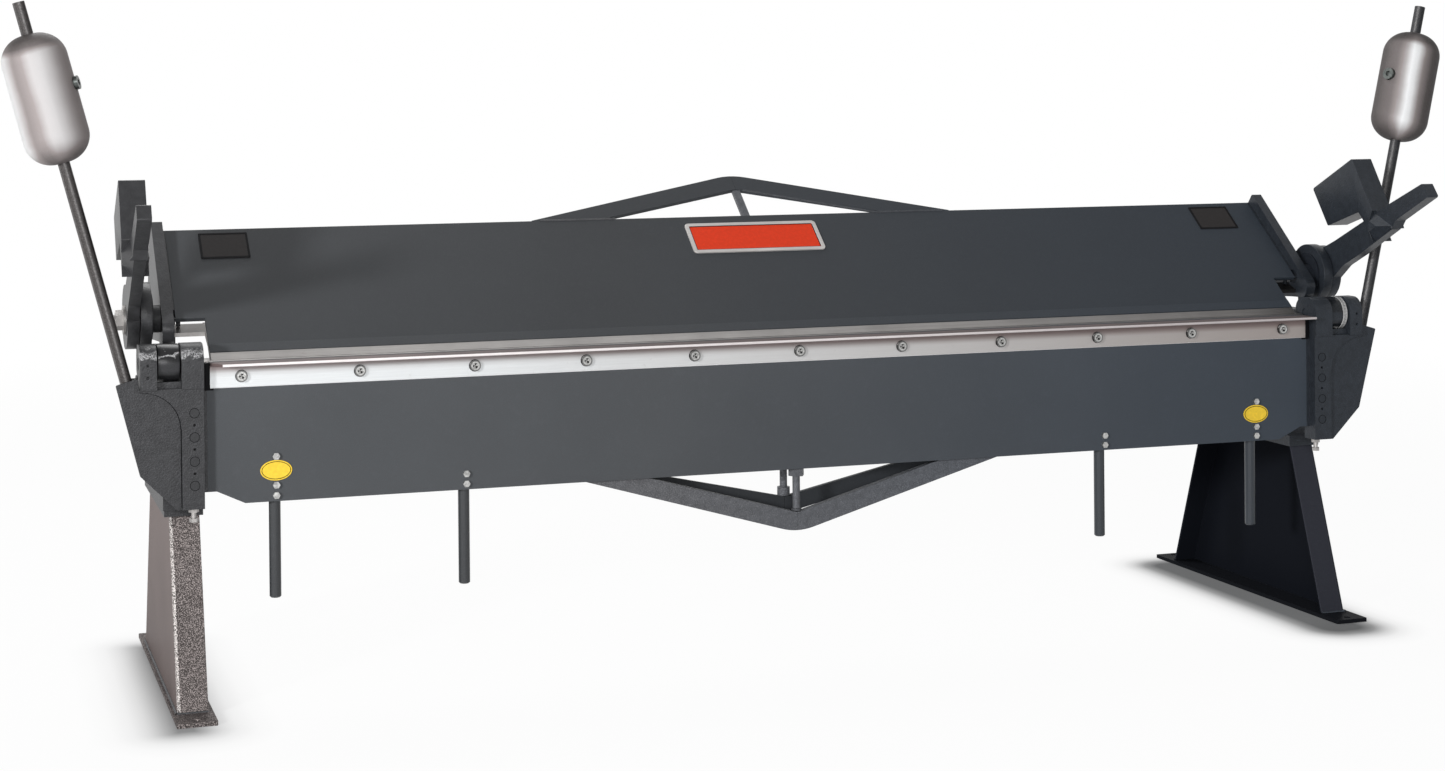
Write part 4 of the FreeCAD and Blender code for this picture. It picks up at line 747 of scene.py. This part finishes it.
def bead(bm, start, end, radius, pitch=0.0055):
    """A weld bead: a ring pushed along in steps, fuller and thinner by turns."""
    start, end = Vector(start), Vector(end)
    way = end - start
    turn = way.to_track_quat("Z", "Y").to_matrix().to_4x4()
    ring = bmesh.ops.create_circle(bm, segments=10, radius=radius, cap_ends=True)["verts"]
    bmesh.ops.transform(bm, matrix=Matrix.Translation(start) @ turn, verts=ring)
    steps = max(4, round(way.length / pitch))
    face = ring[0].link_faces[0]
    swell = 1.0
    for i in range(steps):
        face = bmesh.ops.extrude_discrete_faces(bm, faces=[face])["faces"][0]
        bmesh.ops.translate(bm, verts=face.verts, vec=way / steps)
        want = 0.78 if i % 2 else 1.0 + 0.08 * math.sin(i * 1.7)
        core = sum((v.co for v in face.verts), Vector()) / len(face.verts)
        bmesh.ops.scale(bm, verts=face.verts, vec=(want / swell,) * 3,
                        space=Matrix.Translation(-core))
        swell = want


def round_bead(bm, centre, across, radius, steps=28):
    """A weld bead round the foot of a bar."""
    ring = bmesh.ops.create_circle(bm, segments=8, radius=radius)
    bmesh.ops.transform(bm, verts=ring["verts"], matrix=Matrix.Translation((across, 0, 0))
                        @ Matrix.Rotation(math.radians(90), 4, "X"))
    edges = list({e for v in ring["verts"] for e in v.link_edges})
    bmesh.ops.spin(bm, geom=ring["verts"] + edges, cent=(0, 0, 0), axis=(0, 0, 1),
                   angle=math.tau, steps=steps, use_merge=True)
    bmesh.ops.translate(bm, verts=bm.verts, vec=centre)


class FOLDER_OT_paint(bpy.types.Operator):
    """Give each CAD piece of the machine its paint or bare metal"""
    bl_idname = "folder.paint"
    bl_label = "Paint the Machine"

    def execute(self, context):
        paints(context.scene.folder_colours)
        left = set(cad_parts)
        for paint, patterns in NODE_PAINT.items():
            for name in node_names(patterns):
                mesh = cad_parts[name].data
                mesh.materials.clear()
                mesh.materials.append(bpy.data.materials[paint])
                left.discard(name)
        if left:
            raise RuntimeError("no paint for " + ", ".join(sorted(left)))
        return {"FINISHED"}


class FOLDER_OT_edges(bpy.types.Operator):
    """Round the edges of the castings and plates a little"""
    bl_idname = "folder.edges"
    bl_label = "Round the Edges"

    def execute(self, context):
        sizes = context.scene.folder_sizes
        for patterns, width, segments in ((CAST_NODES, sizes.edge, 3),
                                          (PLATE_NODES, sizes.sheet_edge, 2)):
            for name in node_names(patterns):
                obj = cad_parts[name]
                obj.modifiers.new("Join", "WELD").merge_threshold = 1e-5
                flat = obj.modifiers.new("Join flat faces", "DECIMATE")
                flat.decimate_type, flat.angle_limit = "DISSOLVE", math.radians(0.5)
                m = obj.modifiers.new("Rounded edges", "BEVEL")
                m.width, m.segments = width, segments
                m.limit_method, m.angle_limit = "ANGLE", math.radians(40)
                m.harden_normals = True
        return {"FINISHED"}


class FOLDER_OT_name_plate(bpy.types.Operator):
    """Add the metal rim and the dark inner line of the blank name plate"""
    bl_idname = "folder.name_plate"
    bl_label = "Name Plate Rim"

    def execute(self, context):
        sizes = context.scene.folder_sizes
        leaf = leaf_matrix()
        bm = rounded_border(NAME_W, NAME_H, 0.012, sizes.rim, 0.0022, cy=NAME_UP, z=0.0015)
        place(bm, leaf)
        finish_mesh(bm, "name_plate_rim", "top_leaf", "brushed plate rim",
                    bevel=0.0006)
        inner = 2 * sizes.rim
        bm = rounded_border(NAME_W - inner, NAME_H - inner, 0.006, sizes.rim_line, 0.0004,
                            cy=NAME_UP, z=0.0019)
        place(bm, leaf)
        finish_mesh(bm, "name_plate_line", "top_leaf", LINE)
        return {"FINISHED"}


class FOLDER_OT_tags(bpy.types.Operator):
    """Add the borders of the small blank plates and the lines of the oval tags"""
    bl_idname = "folder.tags"
    bl_label = "Tags and Small Plates"

    def execute(self, context):
        sizes = context.scene.folder_sizes
        leaf = leaf_matrix()
        lo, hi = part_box("oval_tags")
        half_w, half_h = hi[0] - TAG_X - TAG_EDGE, (hi[2] - lo[2]) / 2 - TAG_EDGE
        for side, s in SIDES.items():
            bm = rounded_border(BLANK_W, BLANK_H, 0.003, sizes.border, 0.0008, s * BLANK_X,
                                BLANK_UP, 0.0012)
            place(bm, leaf)
            finish_mesh(bm, side + "_blank_plate_border", "top_leaf", LINE)
            bm = oval_border(half_w, half_h, sizes.tag_line, 0.0006)
            place(bm, facing_front(s * TAG_X, lo[1] + 0.0002, middle("oval_tags")[2]))
            finish_mesh(bm, side + "_oval_tag_line", "apron", LINE)
        return {"FINISHED"}


class FOLDER_OT_scale(bpy.types.Operator):
    """Add the graduations of the bend scale"""
    bl_idname = "folder.scale"
    bl_label = "Bend Scale Graduations"

    def execute(self, context):
        sizes = context.scene.folder_sizes
        lo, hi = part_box("bend_scale_ring")
        radius, near = hi[2] - BEND_Z, lo[0] + 0.0028
        bm = bmesh.new()
        for i in range(sizes.ticks):
            angle = TICK_START + i * TICK_STEP
            made = slab(bm, near, near + TICK_LENGTHS[i % 2], -sizes.tick / 2,
                        sizes.tick / 2, radius - 0.0003, radius + 0.00025)
            turn = Matrix.Rotation(math.radians(angle - 90.0), 4, "X")
            place(bm, Matrix.Translation((0, BEND_Y, BEND_Z)) @ turn, made)
        finish_mesh(bm, "bend_scale_ticks", "stand", LINE)
        return {"FINISHED"}


class FOLDER_OT_leaf_welds(bpy.types.Operator):
    """Lay the weld beads along the leaf's truss"""
    bl_idname = "folder.leaf_welds"
    bl_label = "Leaf Truss Welds"

    def execute(self, context):
        r = context.scene.folder_sizes.weld
        leaf = leaf_matrix()
        seam, inner, outer = 0.4459, 0.385, 0.598
        for side, s in SIDES.items():
            bm = bmesh.new()
            bead(bm, (s * inner, seam, -0.0005), (s * outer, seam, -0.0005), r * 0.7)
            place(bm, leaf)
            finish_mesh(bm, side + "_leaf_truss_weld", "top_leaf", WELD)
        bm = bmesh.new()
        peak, foot = (0.020, 0.5535, -0.0015), (0.395, 0.4475, -0.0015)
        bead(bm, peak, foot, r * 0.5)
        place(bm, leaf)
        finish_mesh(bm, "leaf_truss_edge_weld", "top_leaf", WELD)
        return {"FINISHED"}


class FOLDER_OT_leg_welds(bpy.types.Operator):
    """Lay the weld beads between the legs and their feet"""
    bl_idname = "folder.leg_welds"
    bl_label = "Leg Welds"

    def execute(self, context):
        r = context.scene.folder_sizes.weld
        for side, s in SIDES.items():
            lo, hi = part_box(side + "_leg")
            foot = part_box(side + "_foot_plate")[1][2]
            x_out = s * (max(abs(lo[0]), abs(hi[0])) + 0.0006)
            x_in = s * min(abs(lo[0]), abs(hi[0]))
            bm = bmesh.new()
            bead(bm, (x_out, lo[1], foot), (x_out, hi[1], foot), r * 0.9)
            bead(bm, (x_in, lo[1], foot), (x_out, lo[1], foot), r * 0.8)
            bead(bm, (x_in, hi[1], foot), (x_out, hi[1], foot), r * 0.8)
            finish_mesh(bm, side + "_leg_weld", "stand", WELD)
        return {"FINISHED"}


class FOLDER_OT_strut_welds(bpy.types.Operator):
    """Lay a weld bead round the foot of the apron truss's strut"""
    bl_idname = "folder.strut_welds"
    bl_label = "Strut Welds"

    def execute(self, context):
        r = context.scene.folder_sizes.weld
        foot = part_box("apron_truss_screw")[0][2]
        bm = bmesh.new()
        round_bead(bm, (0, middle("left_apron_truss_arm")[1], foot + 0.0035), 0.0105, r * 0.75)
        finish_mesh(bm, "apron_strut_weld", "apron", WELD)
        return {"FINISHED"}


class FOLDER_OT_leaf_lip(bpy.types.Operator):
    """Add the strip along the foot of the leaf"""
    bl_idname = "folder.leaf_lip"
    bl_label = "Leaf Lip"

    def execute(self, context):
        sizes = context.scene.folder_sizes
        bm = bmesh.new()
        slab(bm, -LIP_HALF, LIP_HALF, LIP_FOOT, sizes.lip, -0.001, sizes.lip_thick)
        place(bm, leaf_matrix())
        finish_mesh(bm, "leaf_lip", "top_leaf", "leaf lip enamel",
                    bevel=0.0005)
        return {"FINISHED"}


class FOLDER_OT_gap_shade(bpy.types.Operator):
    """Add black blocks of painted shade between the angle's ends and the hinge castings"""
    bl_idname = "folder.packing"
    bl_label = "Painted Gap Shade"

    def execute(self, context):
        thick = context.scene.folder_sizes.shade_block
        lo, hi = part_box("apron_angle")
        front = hi[1] - 0.0050
        inner, outer = hi[0] - 0.009, hi[0] + 0.0003 + thick
        for side, s in SIDES.items():
            bm = bmesh.new()
            # A black block of painted shade in the gap
            slab(bm, *sorted((s * inner, s * outer)), front, hi[1] + 0.020, lo[2] - 0.004,
                 hi[2] - 0.0015)
            finish_mesh(bm, side + "_packing", "apron", LINE, bevel=0.0008)
        return {"FINISHED"}


class FOLDER_OT_screw_rings(bpy.types.Operator):
    """Add the dark rings round the angle's socket screws and the castings' bolts"""
    bl_idname = "folder.screw_rings"
    bl_label = "Screw Rings"

    def execute(self, context):
        ring = context.scene.folder_sizes.ring
        screws = "apron_angle_screws"
        lo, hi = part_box(screws)
        first, last, z = lo[0] + HEAD_R, hi[0] - HEAD_R, middle(screws)[2]
        spots = [(first + (last - first) * i / (SCREWS - 1), z) for i in range(SCREWS)]
        self.rings("angle_screw_rings", spots, BEND_Y - RING_AHEAD, HEAD_R + ring,
                   ring + 0.0006, 0.0009)
        front = BEND_Y - BOLT_FACE
        for side, s in SIDES.items():
            spots = [(s * BOLT_X, z) for z in BOLT_HEIGHTS]
            self.rings(side + "_bolt_rings", spots, front - 0.0001, BOLT_HEAD_R + ring, ring,
                       0.0004)
        return {"FINISHED"}

    def rings(self, name, spots, y, radius, width, thick):
        bm = bmesh.new()
        for x, z in spots:
            one = oval_border(radius, radius, width, thick, 40)
            place(one, facing_front(x, y, z))
            mesh = bpy.data.meshes.new("one ring")
            one.to_mesh(mesh)
            one.free()
            bm.from_mesh(mesh)
            bpy.data.meshes.remove(mesh)
        finish_mesh(bm, name, "apron", LINE)


class FOLDER_OT_seams(bpy.types.Operator):
    """Run a dark strip round the hinge castings' raised corners: the seam, with painted shadow"""
    bl_idname = "folder.seams"
    bl_label = "Casting Seams"

    def execute(self, context):
        width = context.scene.folder_sizes.seam
        lo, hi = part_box("right_apron_hinge")
        x_in, z_low = CAST_SPLIT, BEND_Z - 0.1565
        reach, drop = hi[0] - x_in - 0.001, 0.0922
        y = BEND_Y - 0.0368
        for side, s in SIDES.items():
            bm = bmesh.new()
            # Dark strip for the seam and the painted shadow along the raised edge
            a = bm.verts.new((-1.0, 0, 0))
            b = bm.verts.new((-1.0 + width / reach, 0, 0))
            edge = bm.edges.new((a, b))
            bmesh.ops.spin(bm, geom=[a, b, edge], cent=(0, 0, 0), axis=(0, 1, 0),
                           angle=math.pi / 2, steps=24)
            bmesh.ops.scale(bm, verts=bm.verts, vec=(reach, 1, drop))
            bmesh.ops.translate(bm, verts=bm.verts, vec=(hi[0], y, z_low))
            lift(bm, bm.faces[:], (0, -0.0006, 0))
            slab(bm, x_in, x_in + width, y - 0.0006, y + 0.0002, lo[2] + 0.004, z_low)
            if s < 0:
                bmesh.ops.scale(bm, verts=bm.verts, vec=(-1, 1, 1))
            finish_mesh(bm, side + "_casting_seam", "apron", LINE)
        return {"FINISHED"}


class FOLDER_OT_stage(bpy.types.Operator):
    """Set the floor, the soft lights and the camera"""
    bl_idname = "folder.stage"
    bl_label = "Floor, Lights and Camera"

    def execute(self, context):
        scene = context.scene
        bm = bmesh.new()
        bmesh.ops.create_circle(bm, segments=64, radius=60.0, cap_ends=True)
        mesh = bpy.data.meshes.new("floor")
        bm.to_mesh(mesh)
        bm.free()
        floor = bpy.data.objects.new("floor", mesh)
        scene.collection.objects.link(floor)
        mesh.materials.append(self.floor_paint(scene.folder_colours.floor))
        self.world(scene)
        self.lamp(scene, "key light", (-8.4, -6.2, 2.8), (-0.2, 0, 0.8), 1.2, 660.0)
        self.lamp(scene, "front light", (-2.4, -8.0, 2.0), (-0.2, 0, 0.8), 3.0, 230.0)
        self.lamp(scene, "back light", (-1.2, 2.4, 4.2), (-0.2, 0, 0.6), 3.0, 90.0)
        self.camera(scene)
        scene.view_settings.view_transform = "Standard"
        return {"FINISHED"}

    def floor_paint(self, rgb):
        """White floor with a soft shadow painted round the feet; its real shadows show mostly near
        them.
        """
        f = Finish("white floor")
        rays = f.node("LightPath")
        seen = rays["Is Camera Ray"] + rays["Is Glossy Ray"] + rays["Is Transmission Ray"]
        lo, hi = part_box("right_foot_plate")
        mid = middle("right_foot_plate")
        at = f.xyz()
        left = at["X"] < 0.0
        dx = abs(abs(at["X"] + SHADOW_X - left * SHADOW_LEFT) - mid[0]) - 0.018
        dy = abs(at["Y"] + SHADOW_Y - mid[1]) - (hi[1] - lo[1]) / 2 + 0.05
        dx, dy = dx.math("MAXIMUM", dx, 0.0), dy.math("MAXIMUM", dy, 0.0)
        gap = dx.math("SQRT", dx * dx + dy * dy) / SHADOW_REACH
        # Painted shadow round each foot, softer round the left one
        right_foot = f.ramp(gap, (0.0, 1.0), (0.13, 1.0), (0.25, 0.83), (0.37, 0.44),
                            (0.48, 0.17), (0.60, 0.05), (0.75, 0.0))
        left_foot = f.ramp(gap, (0.0, 0.92), (0.10, 0.72), (0.22, 0.42), (0.34, 0.20),
                           (0.50, 0.06), (0.70, 0.0))
        near = f.clamp(f.mix(left, right_foot, left_foot))
        away = f.between(at["X"] * at["X"] + at["Y"] * at["Y"], 9.0, 60.0)
        white = f.node("Emission", Color=(1, 1, 1), Strength=1.0)["Emission"]
        soft = f.noise(0.8, 2.0)
        colour = f.mix(soft, rgb, shade(rgb, 1.02))
        # Painted shadow: darker floor paint near the feet
        colour = f.mix(near * 0.85, colour, (0.15, 0.155, 0.16))
        paint = f.node("BsdfDiffuse", Color=colour, Roughness=0.0)["BSDF"]
        share = f.clamp(seen * (0.96 + away * 0.04 - near * 0.93))
        both = f.node("MixShader", Fac=share)
        f.tree.links.new(paint.out, both["Shader"].out.node.inputs[1])
        f.tree.links.new(white.out, both["Shader"].out.node.inputs[2])
        f.node("OutputMaterial", Surface=both["Shader"])
        return f.mat

    def world(self, scene):
        world = bpy.data.worlds.new("studio")
        scene.world = world
        world.use_nodes = True
        tree = world.node_tree
        tree.nodes.clear()
        rays = tree.nodes.new("ShaderNodeLightPath").outputs
        seen = sum((Socket(tree, rays[k]) for k in ("Is Glossy Ray", "Is Transmission Ray")),
                   Socket(tree, rays["Is Camera Ray"]))
        strength = AMBIENT + seen * (1.0 - AMBIENT)
        back = tree.nodes.new("ShaderNodeBackground")
        back.inputs["Color"].default_value = (1, 1, 1, 1)
        tree.links.new(strength.out, back.inputs["Strength"])
        out = tree.nodes.new("ShaderNodeOutputWorld")
        tree.links.new(back.outputs[0], out.inputs["Surface"])

    def lamp(self, scene, name, place_at, look_at, width, power):
        light = bpy.data.lights.new(name, "AREA")
        light.shape, light.size, light.energy = "DISK", width, power
        obj = bpy.data.objects.new(name, light)
        obj.location = place_at
        way = Vector(look_at) - Vector(place_at)
        obj.rotation_euler = way.to_track_quat("-Z", "Y").to_euler()
        scene.collection.objects.link(obj)

    def camera(self, scene):
        yaw, pitch, roll = CAMERA_TURN
        ahead = Vector((math.sin(yaw) * math.cos(pitch), math.cos(yaw) * math.cos(pitch),
                        math.sin(pitch)))
        right = Vector((math.cos(yaw), -math.sin(yaw), 0))
        up = right.cross(ahead)
        side = right * math.cos(roll) + up * math.sin(roll)
        rise = up * math.cos(roll) - right * math.sin(roll)
        data = bpy.data.cameras.new("photo camera")
        data.sensor_fit, data.sensor_width = "HORIZONTAL", 36.0
        data.lens = CAMERA_LENS
        data.shift_x, data.shift_y = CAMERA_SHIFT
        data.clip_end = 200.0
        cam = bpy.data.objects.new("photo camera", data)
        m = Matrix((side, rise, -ahead)).transposed().to_4x4()
        cam.matrix_world = Matrix.Translation(CAMERA_AT) @ m
        scene.collection.objects.link(cam)
        scene.camera = cam


class FOLDER_PT_panel(bpy.types.Panel):
    bl_label = "Sheet Metal Folder"
    bl_idname = "FOLDER_PT_panel"
    bl_space_type = "VIEW_3D"
    bl_region_type = "UI"
    bl_category = "Folder"

    def draw(self, context):
        column = self.layout.column(align=True)
        for group in (context.scene.folder_sizes, context.scene.folder_colours):
            for key in group.bl_rna.properties.keys():
                if key not in ("rna_type", "name"):
                    column.prop(group, key)
        for op in OPERATORS:
            self.layout.operator(op.bl_idname)


OPERATORS = (FOLDER_OT_paint, FOLDER_OT_edges, FOLDER_OT_name_plate, FOLDER_OT_tags,
             FOLDER_OT_scale, FOLDER_OT_leaf_welds, FOLDER_OT_leg_welds,
             FOLDER_OT_strut_welds, FOLDER_OT_leaf_lip, FOLDER_OT_gap_shade,
             FOLDER_OT_screw_rings, FOLDER_OT_seams, FOLDER_OT_stage)
CLASSES = (FolderSizes, FolderColours) + OPERATORS + (FOLDER_PT_panel,)


def register():
    for cls in CLASSES:
        bpy.utils.register_class(cls)
    bpy.types.Scene.folder_sizes = PointerProperty(type=FolderSizes)
    bpy.types.Scene.folder_colours = PointerProperty(type=FolderColours)


def unregister():
    del bpy.types.Scene.folder_colours
    del bpy.types.Scene.folder_sizes
    for cls in reversed(CLASSES):
        bpy.utils.unregister_class(cls)


def main():
    register()
    for op in OPERATORS:
        getattr(bpy.ops.folder, op.bl_idname.split(".")[1])()
    bpy.context.view_layer.update()


if __name__ == "__main__":
    main()
